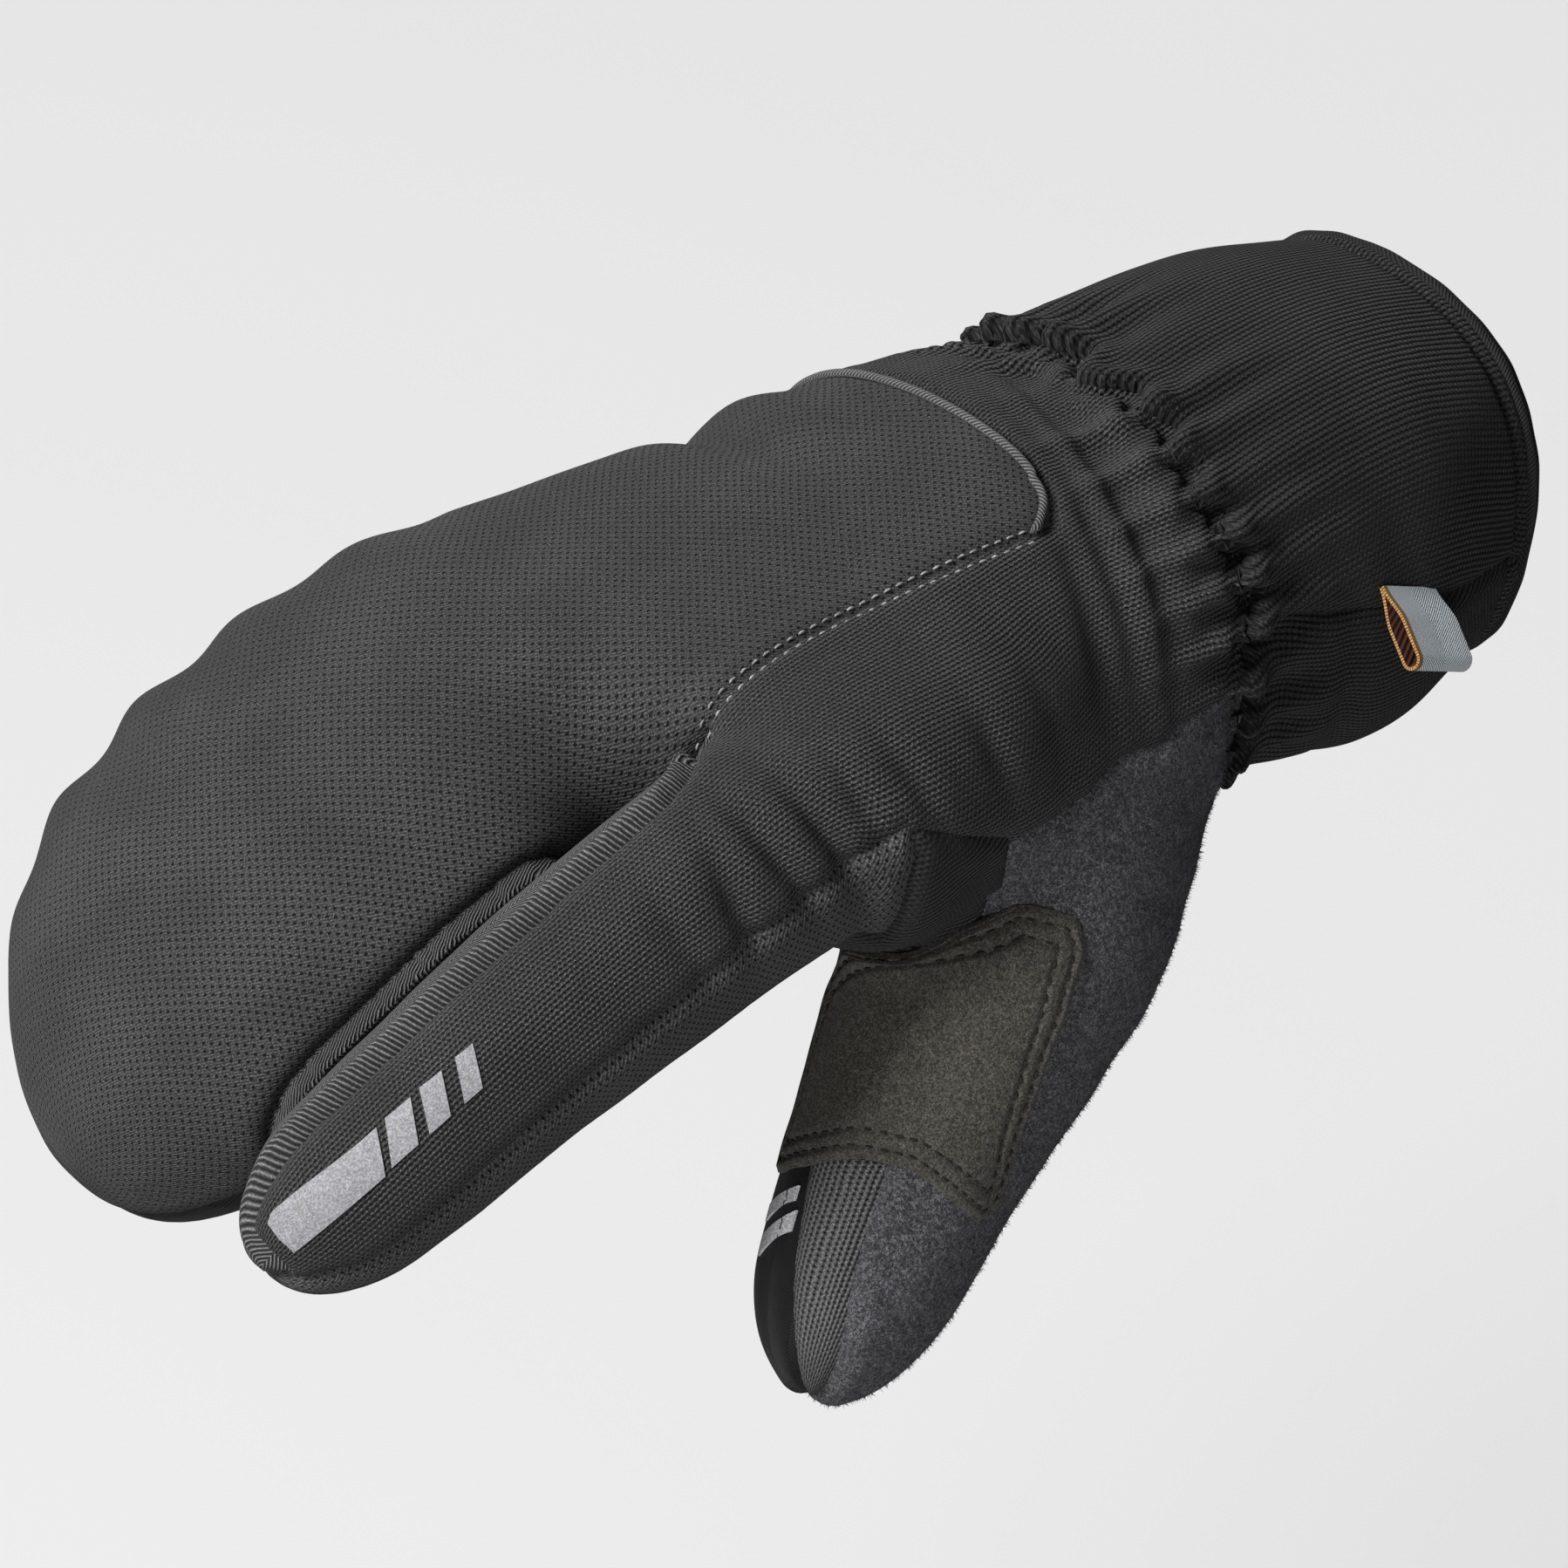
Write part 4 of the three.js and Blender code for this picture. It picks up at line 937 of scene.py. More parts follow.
    def panel_of_faces(self) -> Array:
        """Number of the panel that each triangle belongs to, or -1 beyond the rim.

        Returns:
            Numbers in the order of the panels, (n,).
        """
        middle = self.fields[self.faces]
        wide = np.abs(middle).argmax(1)
        furthest = np.take_along_axis(middle, wide[:, None], 1)[:, 0]
        value = {seam: furthest[:, seam.value] for seam in Seam}
        on = {seam: value[seam] > 0 for seam in Seam}
        name = {panel: i for i, panel in enumerate(PANELS)}
        label = np.where(on[Seam.SIDE], name["hand_back"], name["palm"])
        label = np.where(~on[Seam.SIDE] & on[Seam.FLEECE], name["thumb_back"], label)
        strip = on[Seam.CROTCH] & ~on[Seam.POUCH] & on[Seam.STRIP]
        label = np.where(strip, name["pouch_fourchette"], label)
        label = np.where(on[Seam.POUCH] & on[Seam.SIDE], name["pouch_back"], label)
        label = np.where(on[Seam.WEB], name["thumb_crotch_gusset"], label)
        near = on[Seam.INDEX] & ~on[Seam.THUMB]
        back = on[Seam.INDEX_OUTER] & ~on[Seam.INDEX_INNER]
        outer = ~on[Seam.INDEX_OUTER] & on[Seam.INDEX_PALM_OUT]
        inner = on[Seam.INDEX_INNER] & ~on[Seam.INDEX_PALM_IN]
        label = np.where(near & back, name["hand_back"], label)
        label = np.where(near & on[Seam.INDEX_ROOT] & ~back, name["palm"], label)
        label = np.where(near & inner & on[Seam.CROTCH], name["index_fourchette_inner"], label)
        low_root = value[Seam.INDEX_ROOT] > -.16 * INDEX_LENGTH
        label = np.where(near & outer & low_root, name["index_fourchette_outer"], label)
        strip = on[Seam.THUMB_OUTER] & ~on[Seam.THUMB_INNER]
        pad = on[Seam.THUMB_INNER] & ~on[Seam.THUMB_PALM]
        thumb = on[Seam.THUMB]
        label = np.where(thumb, name["thumb_back"], label)
        label = np.where(thumb & pad, name["thumb_palm"], label)
        end = np.where(on[Seam.THUMB_START], name["thumb_fourchette"], name["thumb_crotch_gusset"])
        label = np.where(thumb & strip, end, label)
        cuff = np.where(on[Seam.SIDE], name["cuff_back"], name["cuff_palm"])
        label = np.where(on[Seam.GATHER], label, cuff)
        return np.where(on[Seam.RIM], label, -1)

    def join_scraps(self, least: int = 90) -> None:
        """Gives scraps of few faces to the panel beside them.

        Args:
            least: number of faces that makes a piece worth keeping.
        """
        _, a, b = self.shared_edges()
        for _ in range(3):
            within = self.label[a] == self.label[b]
            piece = np.arange(len(self.faces))
            for _ in range(80):
                before = piece.copy()
                low = np.minimum(piece[a[within]], piece[b[within]])
                np.minimum.at(piece, a[within], low)
                np.minimum.at(piece, b[within], low)
                piece = piece[piece]
                if (piece == before).all():
                    break
            scrap = np.bincount(piece, minlength=len(piece))[piece] < least
            new = np.full(len(piece), -1)
            for one, other in ((a, b), (b, a)):
                take = scrap[one] & ~scrap[other] & (self.label[other] >= 0)
                new[piece[one[take]]] = self.label[other[take]]
            change = scrap & (new[piece] >= 0)
            self.label = np.where(change, new[piece], self.label)

    def shared_edges(self) -> tuple[Array, Array, Array]:
        """Edges that two triangles share.

        Returns:
            The two points of each edge, and the numbers of its two triangles.
        """
        ends = np.stack([self.faces, np.roll(self.faces, -1, 1)], -1)
        ends = np.sort(ends.reshape(-1, 2), 1)
        owner = np.repeat(np.arange(len(self.faces)), 3)
        order = np.lexsort((ends[:, 1], ends[:, 0]))
        ends, owner = ends[order], owner[order]
        same = (ends[1:] == ends[:-1]).all(1)
        return ends[:-1][same], owner[:-1][same], owner[1:][same]

    def distance_to_seams(self) -> Array:
        """Distance of each point from the nearest seam, up to 12 mm, in chunks.

        Returns:
            Distances in millimetres, (n,).
        """
        edges, a, b = self.shared_edges()
        marks = self.points[np.unique(edges[self.label[a] != self.label[b]])]
        nearest = np.full(len(self.points), SEAM_REACH)
        used = np.unique(self.faces)
        cell = SEAM_REACH + 2
        keys = np.floor(self.points[used] / cell).astype(int)
        mark_keys = np.floor(marks / cell).astype(int)
        for key in np.unique(keys, axis=0):
            mine = used[(keys == key).all(1)]
            close = marks[(np.abs(mark_keys - key) <= 1).all(1)]
            if len(close):
                apart = np.linalg.norm(self.points[mine][:, None] - close[None], axis=-1).min(1)
                nearest[mine] = np.minimum(apart, SEAM_REACH)
        return nearest

    def sink_seams(self) -> None:
        """Sinks the cloth at the seams and rolls it up beside them."""
        normal = self.point_normals(self.points, self.faces)
        self.out = normal
        gap = self.edge_gap
        depth = .9 * bell(gap / 1.0) - .35 * bell((gap - 3.4) / 2.0)
        strip = np.zeros(len(self.points))
        names = [PANELS.index(n) for n in ("index_fourchette_inner", "pouch_fourchette")]
        strip[np.unique(self.faces[np.isin(self.label, names)])] = 1
        share = self.fields[:, Seam.INDEX_ROOT.value] / INDEX_LENGTH + ROOT_SHARE
        strip *= 1 - .8 * smooth_step(.90, .97, share)
        depth += strip * (.5 * bell(gap / .8) - 1.5 * bell((gap - 2.1) / 1.25))
        rim = self.fields[:, Seam.RIM.value]
        depth += .85 * bell((rim - 2.9) / .6) - .4 * bell((rim - 1.3) / .9)
        self.points = self.points - normal * depth[:, None]

    def panel(self, name: str) -> tuple[Array, Array, Array]:
        """Points, triangles and directions outwards of one panel.

        Args:
            name: name of the panel.
        Returns:
            Its points, its triangles in their numbers, and unit directions.
        """
        faces = self.faces[self.label == PANELS.index(name)]
        used, back = np.unique(faces, return_inverse=True)
        return self.points[used], back.reshape(-1, 3), self.out[used]


class Graph:
    """Short words for building shader node trees."""

    def __init__(self, tree: bpy.types.NodeTree) -> None:
        """Keeps the tree that nodes go into."""
        self.tree = tree

    def node(self, kind: str, inputs: dict | None = None, **settings: object) -> bpy.types.Node:
        """Adds a node, sets its properties, and sets or links its inputs.

        Args:
            kind: type of the node.
            inputs: sockets or values by input.
            settings: properties of the node.
        Returns:
            The node.
        """
        node = self.tree.nodes.new(kind)
        for key, value in settings.items():
            setattr(node, key, value)
        for key, value in (inputs or {}).items():
            socket = node.inputs[key]
            if isinstance(value, bpy.types.NodeSocket):
                self.tree.links.new(value, socket)
            else:
                socket.default_value = value
        return node

    def math(self, operation: str, *values: object) -> bpy.types.NodeSocket:
        """Result of a Math node."""
        return self.node("ShaderNodeMath", dict(enumerate(values)), operation=operation).outputs[0]

    def mix(self, share: object, a: object, b: object, blend: str = "MIX") -> bpy.types.NodeSocket:
        """Result of a colour mix.

        Args:
            share: weight of the second colour.
            a: first colour.
            b: second colour.
            blend: way of mixing.
        Returns:
            The colour's socket.
        """
        node = self.node("ShaderNodeMix", data_type="RGBA", blend_type=blend)
        for key, value in ((0, share), (6, a), (7, b)):
            if isinstance(value, bpy.types.NodeSocket):
                self.tree.links.new(value, node.inputs[key])
            else:
                node.inputs[key].default_value = value
        return node.outputs[2]

    def ramp(self, value: object, low: float, high: float, to_low: float = 0.0,
             to_high: float = 1.0) -> bpy.types.NodeSocket:
        """Smooth remap of a value."""
        return self.node("ShaderNodeMapRange", {0: value, 1: low, 2: high, 3: to_low, 4: to_high},
                         interpolation_type="SMOOTHSTEP").outputs[0]

    def noise(self, place: object, scale: float, detail: float = 2.0) -> bpy.types.NodeSocket:
        """Value of a noise texture."""
        return self.node("ShaderNodeTexNoise", {"Vector": place, "Scale": scale, "Detail": detail}
                         ).outputs[0]


def group_of(name: str, inputs: dict[str, float], outputs: Sequence[str],
             build: Callable[[Graph, bpy.types.Node], dict]) -> bpy.types.NodeTree:
    """Makes a shader node group with named sockets.

    Args:
        name: name of the group.
        inputs: float inputs and their defaults. The input Place is added as a vector.
        outputs: names of the float outputs.
        build: fills the tree and gives the socket for each output.
    Returns:
        The node tree.
    """
    tree = bpy.data.node_groups.new(name, "ShaderNodeTree")
    tree.interface.new_socket("Place", in_out="INPUT", socket_type="NodeSocketVector")
    for key, value in inputs.items():
        socket = tree.interface.new_socket(key, in_out="INPUT", socket_type="NodeSocketFloat")
        socket.default_value = value
    for key in outputs:
        tree.interface.new_socket(key, in_out="OUTPUT", socket_type="NodeSocketFloat")
    source = tree.nodes.new("NodeGroupInput")
    target = tree.nodes.new("NodeGroupOutput")
    for key, socket in build(Graph(tree), source).items():
        tree.links.new(socket, target.inputs[key])
    return tree


class Cloths:
    """The node groups that the finishes share. Place is in millimetres over 100."""

    def __init__(self) -> None:
        """Builds each group once."""
        self.ribs = group_of("rib_knit", {"Pitch": 1.0, "Dots": 1.0}, ["Height", "Shade"],
                             self.rib_knit)
        self.jersey = group_of("pinhole_jersey", {"Pitch": 1.7}, ["Height", "Shade"],
                               self.pinhole_jersey)
        self.twill = group_of("herringbone", {"Pitch": 1.2}, ["Height", "Shade"], self.herringbone)
        self.fibre = group_of("brushed_fibre", {"Size": 1.0}, ["Height", "Shade"],
                              self.brushed_fibre)

    @staticmethod
    def wave(g: Graph, value: object, pitch: object) -> bpy.types.NodeSocket:
        """Half a cosine wave plus a half: 1 on the ridge and 0 in the groove.

        Args:
            g: graph of the group.
            value: place in millimetres.
            pitch: length of a wave.
        Returns:
            The wave's socket.
        """
        turns = g.math("DIVIDE", value, pitch)
        wave = g.math("COSINE", g.math("MULTIPLY", turns, FULL_TURN))
        return g.math("MULTIPLY_ADD", wave, .5, .5)

    @staticmethod
    def along_across(g: Graph, source: bpy.types.Node
                     ) -> tuple[bpy.types.NodeSocket, bpy.types.NodeSocket]:
        """Places along and across the cloth in millimetres, from a group's input Place."""
        split = g.node("ShaderNodeSeparateXYZ", {0: source.outputs["Place"]})
        return tuple(g.math("MULTIPLY", split.outputs[k], 100) for k in (0, 1))

    def rib_knit(self, g: Graph, source: bpy.types.Node) -> dict:
        """Fine ribs along the cloth, each a row of small slanted stitches with dots.

        Args:
            g: graph of the group.
            source: its input node.
        Returns:
            Sockets for Height and Shade.
        """
        u, v = self.along_across(g, source)
        jitter = g.noise(source.outputs["Place"], 30.0)
        v = g.math("MULTIPLY_ADD", jitter, .35, v)
        rib = self.wave(g, v, source.outputs["Pitch"])
        row = g.math("FLOOR", g.math("DIVIDE", v, source.outputs["Pitch"]))
        shift = g.math("MULTIPLY", g.math("MODULO", row, 2.0), .5)
        stitch = self.wave(g, g.math("MULTIPLY_ADD", shift, .9, u), .9)
        grain = g.noise(source.outputs["Place"], 420.0, 3.0)
        groove = g.math("POWER", rib, .55)
        dots = g.math("MULTIPLY", g.ramp(rib, .5, 0.0), g.ramp(stitch, .35, .05))
        dots = g.math("MULTIPLY", dots, source.outputs["Dots"])
        height = g.math("MULTIPLY_ADD", stitch, .45, groove)
        height = g.math("MULTIPLY_ADD", dots, -.8, height)
        height = g.math("MULTIPLY_ADD", grain, .35, height)
        # Shade is partly painted light: painted highlight on the rib crests and stitches, painted
        # shade in the grooves and dots; the grain ramp is the yarn's own tone.
        shade = g.math("MULTIPLY_ADD", groove, .42, .38)
        shade = g.math("MULTIPLY_ADD", stitch, .24, shade)
        shade = g.math("MULTIPLY_ADD", dots, -.45, shade)
        shade = g.math("MULTIPLY", shade, g.ramp(grain, .3, .7, .6, 1.35))
        return {"Height": height, "Shade": shade}

    def pinhole_jersey(self, g: Graph, source: bpy.types.Node) -> dict:
        """Smooth knit with slanted fine rows and staggered pinholes.

        Args:
            g: graph of the group.
            source: its input node.
        Returns:
            Sockets for Height and Shade.
        """
        u, v = self.along_across(g, source)
        pitch = source.outputs["Pitch"]
        across = g.math("DIVIDE", v, g.math("MULTIPLY", pitch, .7))
        row = g.math("FLOOR", across)
        shifted = g.math("MULTIPLY_ADD", g.math("MODULO", row, 2.0), .5, g.math("DIVIDE", u, pitch))
        x = g.math("SUBTRACT", g.math("FRACT", shifted), .5)
        y = g.math("MULTIPLY_ADD", g.math("FRACT", across), .7, -.35)
        far = g.math("SQRT", g.math("ADD", g.math("MULTIPLY", x, x), g.math("MULTIPLY", y, y)))
        hole = g.ramp(far, .23, .09)
        slant = self.wave(g, g.math("ADD", g.math("MULTIPLY", u, .8), v), .62)
        grain = g.noise(source.outputs["Place"], 380.0, 3.0)
        height = g.math("MULTIPLY_ADD", hole, -1.0, g.math("MULTIPLY", slant, .3))
        height = g.math("MULTIPLY_ADD", grain, .3, height)
        # Shade is partly painted light: painted highlight on the slanted rows, painted shade in the
        # pinholes; the grain ramp is the yarn's own tone.
        shade = g.math("MULTIPLY_ADD", slant, .3, .8)
        shade = g.math("MULTIPLY_ADD", hole, -.55, shade)
        shade = g.math("MULTIPLY", shade, g.ramp(grain, .3, .7, .62, 1.34))
        return {"Height": height, "Shade": shade}

    def herringbone(self, g: Graph, source: bpy.types.Node) -> dict:
        """Slanted cords that turn back at each column.

        Args:
            g: graph of the group.
            source: its input node.
        Returns:
            Sockets for Height and Shade.
        """
        u, v = self.along_across(g, source)
        fold = g.math("PINGPONG", v, 7.0)
        cord = self.wave(g, g.math("ADD", u, g.math("MULTIPLY", fold, .9)), source.outputs["Pitch"])
        grain = g.noise(source.outputs["Place"], 500.0, 2.0)
        height = g.math("MULTIPLY_ADD", grain, .3, cord)
        # Shade is partly painted light: painted highlight on the cords, painted shade between them;
        # the grain ramp is the yarn's own tone.
        shade = g.math("MULTIPLY_ADD", cord, .85, .25)
        shade = g.math("MULTIPLY", shade, g.ramp(grain, .3, .7, .75, 1.25))
        return {"Height": height, "Shade": shade}

    def brushed_fibre(self, g: Graph, source: bpy.types.Node) -> dict:
        """Matted fibres: warped noise at three sizes.

        Args:
            g: graph of the group.
            source: its input node.
        Returns:
            Sockets for Height and Shade.
        """
        sockets = {0: source.outputs["Place"], "Scale": source.outputs["Size"]}
        place = g.node("ShaderNodeVectorMath", sockets, operation="SCALE").outputs[0]
        coarse = g.noise(place, 55.0, 4.0)
        mid = g.noise(place, 170.0, 4.0)
        fine = g.noise(place, 480.0, 3.0)
        height = g.math("MULTIPLY_ADD", mid, .6, g.math("MULTIPLY", coarse, .9))
        height = g.math("MULTIPLY_ADD", fine, .4, height)
        shade = g.math("MULTIPLY", g.ramp(mid, .35, .65, .72, 1.3),
                       g.ramp(fine, .35, .65, .6, 1.45))
        shade = g.math("MULTIPLY", shade, g.ramp(coarse, .3, .7, .88, 1.1))
        return {"Height": height, "Shade": shade}


class Weave(Enum):
    """Which shared group a finish takes its relief from."""

    RIBS = "ribs"
    JERSEY = "jersey"
    TWILL = "twill"
    FIBRE = "fibre"


@dataclass(frozen=True)
class Finish:
    """A cloth finish: colour, weave, relief in millimetres and sheen."""

    name: str
    colour: tuple[float, float, float]
    weave: Weave
    relief: float
    roughness: float = .9
    sheen: float = .06
    on_cloth: bool = True
    pitch: float = 1.0
    dots: float = 1.0
    contrast: float = 1.0

    def material(self, cloths: Cloths) -> bpy.types.Material:
        """Builds the material from the shared group of its weave.

        Args:
            cloths: the shared groups.
        Returns:
            The material.
        """
        material = bpy.data.materials.new(self.name)
        material.use_nodes = True
        g = Graph(material.node_tree)
        shader = material.node_tree.nodes["Principled BSDF"]
        where = g.node("ShaderNodeTexCoord")
        place = where.outputs["UV" if self.on_cloth else "Object"]
        if not self.on_cloth:
            place = g.node("ShaderNodeVectorMath", {0: place, "Scale": 10.0},
                           operation="SCALE").outputs[0]
        group = g.node("ShaderNodeGroup", node_tree=getattr(cloths, self.weave.value))
        material.node_tree.links.new(place, group.inputs["Place"])
        for key, value in (("Pitch", self.pitch), ("Dots", self.dots), ("Size", self.pitch)):
            if key in group.inputs:
                group.inputs[key].default_value = value
        cloud = g.noise(where.outputs["Object"], 55.0, 3.0)
        # The weave's Shade multiplies the colour, so its painted highlights and painted shade go
        # into the base colour; the cloud is the cloth's own uneven tone.
        tone = g.math("MULTIPLY", group.outputs["Shade"], g.ramp(cloud, .3, .7, .95, 1.05))
        tone = g.math("POWER", tone, self.contrast)
        colour = g.mix(1.0, (*self.colour, 1), g.node(
            "ShaderNodeCombineColor", {0: tone, 1: tone, 2: tone}).outputs[0], "MULTIPLY")
        links = material.node_tree.links
        links.new(colour, shader.inputs["Base Color"])
        rough = g.ramp(group.outputs["Shade"], .4, 1.2, min(self.roughness + .06, 1),
                       self.roughness - .06)
        links.new(rough, shader.inputs["Roughness"])
        shader.inputs["Sheen Weight"].default_value = self.sheen
        shader.inputs["Sheen Roughness"].default_value = .45
        shader.inputs["Specular IOR Level"].default_value = .2
        bump = g.node("ShaderNodeBump", {"Height": group.outputs["Height"], "Strength": 1.0,
                                         "Distance": self.relief / 1000})
        links.new(bump.outputs[0], shader.inputs["Normal"])
        return material


FINISHES = {
    "cuff": Finish("cuff_knit", (.027, .027, .029), Weave.RIBS, .4, pitch=1.05, dots=.8,
                   contrast=2.9),
    "hand": Finish("ribbed_knit", (.062, .062, .063), Weave.RIBS, .32, pitch=.78, dots=.8,
                   contrast=2.9),
    "jersey": Finish("pouch_jersey", (.042, .042, .043), Weave.JERSEY, .35, pitch=1.5,
                     contrast=2.5),
    "twill": Finish("twill_strip", (.15, .15, .153), Weave.TWILL, .6, roughness=.8, pitch=.85,
                    contrast=1.7),
    "mesh": Finish("mesh_knit", (.062, .062, .064), Weave.JERSEY, .4, pitch=1.3, contrast=2.2),
    "satin": Finish("palm_cloth", (.016, .016, .018), Weave.TWILL, .08, roughness=.55, pitch=.5),
    "fleece": Finish("fleece", (.088, .088, .095), Weave.FIBRE, 1.1, roughness=1.0, sheen=.08,
                     on_cloth=False, contrast=1.7),
    # Gusset colour: its own dark knit, darkened further as painted shade for the hollow of the
    # thumb crotch.
    "gusset": Finish("gusset_knit", (.026, .026, .028), Weave.RIBS, .3, pitch=.9, dots=.4,
                     contrast=1.8),
    "strip": Finish("rib_strip", (.18, .18, .184), Weave.RIBS, .4, pitch=1.1, dots=.5,
                    contrast=2.0),
    "suede": Finish("suede_patch", (.066, .062, .052), Weave.FIBRE, .4, roughness=.95, sheen=.1,
                    on_cloth=False, pitch=1.4, contrast=1.5),
    "lining": Finish("lining_fleece", (.02, .02, .022), Weave.FIBRE, .4, roughness=1,
                     on_cloth=False),
    "cord": Finish("piping_cord", (.17, .17, .175), Weave.TWILL, .25, roughness=.75, pitch=.8,
                   contrast=1.5),
    "binding": Finish("binding_cord", (.022, .022, .024), Weave.TWILL, .2, roughness=.65, pitch=.9),
    "tag": Finish("tag_cloth", (.70, .76, .80), Weave.TWILL, .1, roughness=.8, pitch=.5,
                  contrast=.55),
    "tag_inside": Finish("tag_inside_cloth", (.16, .05, .03), Weave.TWILL, .15, roughness=.8,
                         pitch=1.4),
    "tag_edge": Finish("tag_edge_cloth", (.42, .23, .08), Weave.TWILL, .1, roughness=.8, pitch=.5),
    "silver": Finish("reflective", (.22, .22, .23), Weave.FIBRE, .05, roughness=.6, sheen=0,
                     on_cloth=False, pitch=1.6, contrast=.8),
    # Same reflective film as the index bars at three times the colour: a painted reflection, the
    # glow that the film sends back towards the camera.
    "thumb_silver_painted_reflection": Finish("reflective_thumb_painted_reflection", (.66, .66, .68), Weave.FIBRE, .05, roughness=.5,
                           sheen=0, on_cloth=False, pitch=1.6, contrast=.8),
    "thread": Finish("stitch_thread", (.26, .255, .24), Weave.FIBRE, .05, on_cloth=False),
    "patch_thread": Finish("patch_thread", (.022, .021, .018), Weave.FIBRE, .05, on_cloth=False),
    "fibre": Finish("fleece_fibre", (.066, .067, .076), Weave.FIBRE, .05, roughness=1.0, sheen=.1,
                    on_cloth=False),
}

PANEL_FINISH = {
    "cuff_back": "cuff", "cuff_palm": "cuff", "pouch_back": "jersey",
    "pouch_fourchette": "twill", "hand_back": "hand", "palm": "satin",
    "index_fourchette_inner": "twill", "index_fourchette_outer": "mesh",
    "thumb_back": "fleece", "thumb_crotch_gusset": "gusset",
    "thumb_fourchette": "strip", "thumb_palm": "satin",
}


class Wardrobe:
    """All materials, made once and handed out by key."""

    def __init__(self) -> None:
        """Makes the shared groups and every finish."""
        cloths = Cloths()
        self.material = {key: finish.material(cloths) for key, finish in FINISHES.items()}

    def dress(self, thing: bpy.types.Object, *keys: str) -> None:
        """Gives a piece its materials.

        Args:
            thing: the piece.
            keys: names of finishes, in the order of its slots.
        """
        for key in keys:
            thing.data.materials.append(self.material[key])


@dataclass
class Shell:
    """The sewn panels of the mitt."""

    skin: Skin
    wardrobe: Wardrobe
    wall: float = 2.6

    @staticmethod
    def across(tube: Tube, measure: Measure, top: float = 90.0) -> Array:
        """Length along the sections from the top, plus the place of their middle.

        The section's own formula is added up in 24 steps from the top to each angle.

        Args:
            tube: the tube.
            measure: where the points lie about it.
            top: angle in degrees that the length starts from.
        Returns:
            Lengths in millimetres, below nought on one side.
        """
        middle, half, back, palm = tube.sizes(measure.at)
        turn = turn_between(measure.around, top)
        share = np.linspace(0, 1, 25)
        angle = np.radians(top + turn[:, None] * share)
        power = 2 / tube.square
        c = np.sign(np.cos(angle)) * np.abs(np.cos(angle)) ** power * half[:, None]
        high = np.where(np.sin(angle) > 0, back[:, None], -palm[:, None])
        s = np.abs(np.sin(angle)) ** power * high
        length = np.hypot(np.diff(c, axis=1), np.diff(s, axis=1)).sum(1)
        return middle - np.sign(turn) * length

    def cloth_place(self, name: str, points: Array) -> Array:
        """Coordinates of a panel's points in millimetres: along its grain and across it.

        Args:
            name: name of the panel.
            points: places in the mitt's own axes, (n, 3).
        Returns:
            Places on the cloth, (n, 2).
        """
        hand, index, thumb = self.skin.form.measures(points)
        tubes = self.skin.form
        if name == "thumb_crotch_gusset":
            return np.stack([hand.at, hand.height], -1)
        if name.startswith("thumb"):
            return np.stack([thumb.at, np.radians(turn_between(thumb.around, 190)) * 20], -1)
        if name == "pouch_fourchette":
            return np.stack([hand.at, hand.gap - index.gap], -1)
        if name.endswith("inner"):
            turn = np.radians(turn_between(index.around, 120))
            share = smooth_step(.86, .985, index.at / INDEX_LENGTH)
            return np.stack([index.at, turn * 14 * (1 - .55 * share)], -1)
        if name.endswith("outer"):
            return np.stack([index.at, np.radians(turn_between(index.around, 340)) * 16], -1)
        if name == "hand_back":
            share = smooth_step(-7, 11, hand.gap - index.gap)
            over_index = self.across(tubes.index, index) + INDEX_SIDE
            over_hand = self.across(tubes.hand, hand)
            along = hand.at * (1 - share) + (index.at + INDEX_START) * share
            return np.stack([along, over_hand * (1 - share) + over_index * share], -1)
        top = 270.0 if name in ("palm", "cuff_palm") else 90.0
        return np.stack([hand.at, self.across(tubes.hand, hand, top)], -1)

    def build(self) -> None:
        """Makes each panel as a piece of its own with a lined wall."""
        for name in PANELS:
            points, faces, out = self.skin.panel(name)
            solid = shell_of(points, faces, out, self.wall, self.cloth_place(name, points))
            piece = new_object(f"{name}_cloth", solid)
            self.wardrobe.dress(piece, PANEL_FINISH[name], "lining")
            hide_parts(name)
            log.info("panel %s: %d faces", name, len(solid.faces))


# Patch: share of the thumb's length, first and last angle.
PATCH_ROWS = (
    (.273, 134, 158), (.30, 128, 166), (.33, 126, 175), (.36, 125, 184), (.39, 123, 198),
    (.42, 121, 216), (.455, 119, 229), (.51, 114, 234), (.566, 108, 236), (.63, 99, 238),
    (.67, 98, 238), (.695, 104, 236),
)
# Bows of the patch's two ends: angle, share of the thumb's length.
PATCH_BOW = ((98, .005), (112, -.002), (134, -.016), (156, -.030), (177, -.021), (196, .005),
             (224, .032), (238, .035))
PATCH_START = ((120, .012), (137, .002), (153, .010), (168, .030))
PATCH_INSETS = (2.0, 4.6)
PATCH_RADIUS = 23.5
# Bars: start and end at the near angle, the same at the far angle, both angles, spread.
INDEX_BARS = (
    (.8155, .965, .783, .958, 41.5, 69, 15), (.760, .803, .728, .768, 43, 68.5, 1),
    (.708, .742, .679, .713, 43, 68, 1), (.657, .686, .630, .657, 43, 67, 1),
)
THUMB_BARS = ((.737, .758, .773, .797, 206, 236, 0), (.769, .798, .815, .845, 202, 232, 0))
TAG_WIDTH = 13.0
TAG_DROP = 13.0


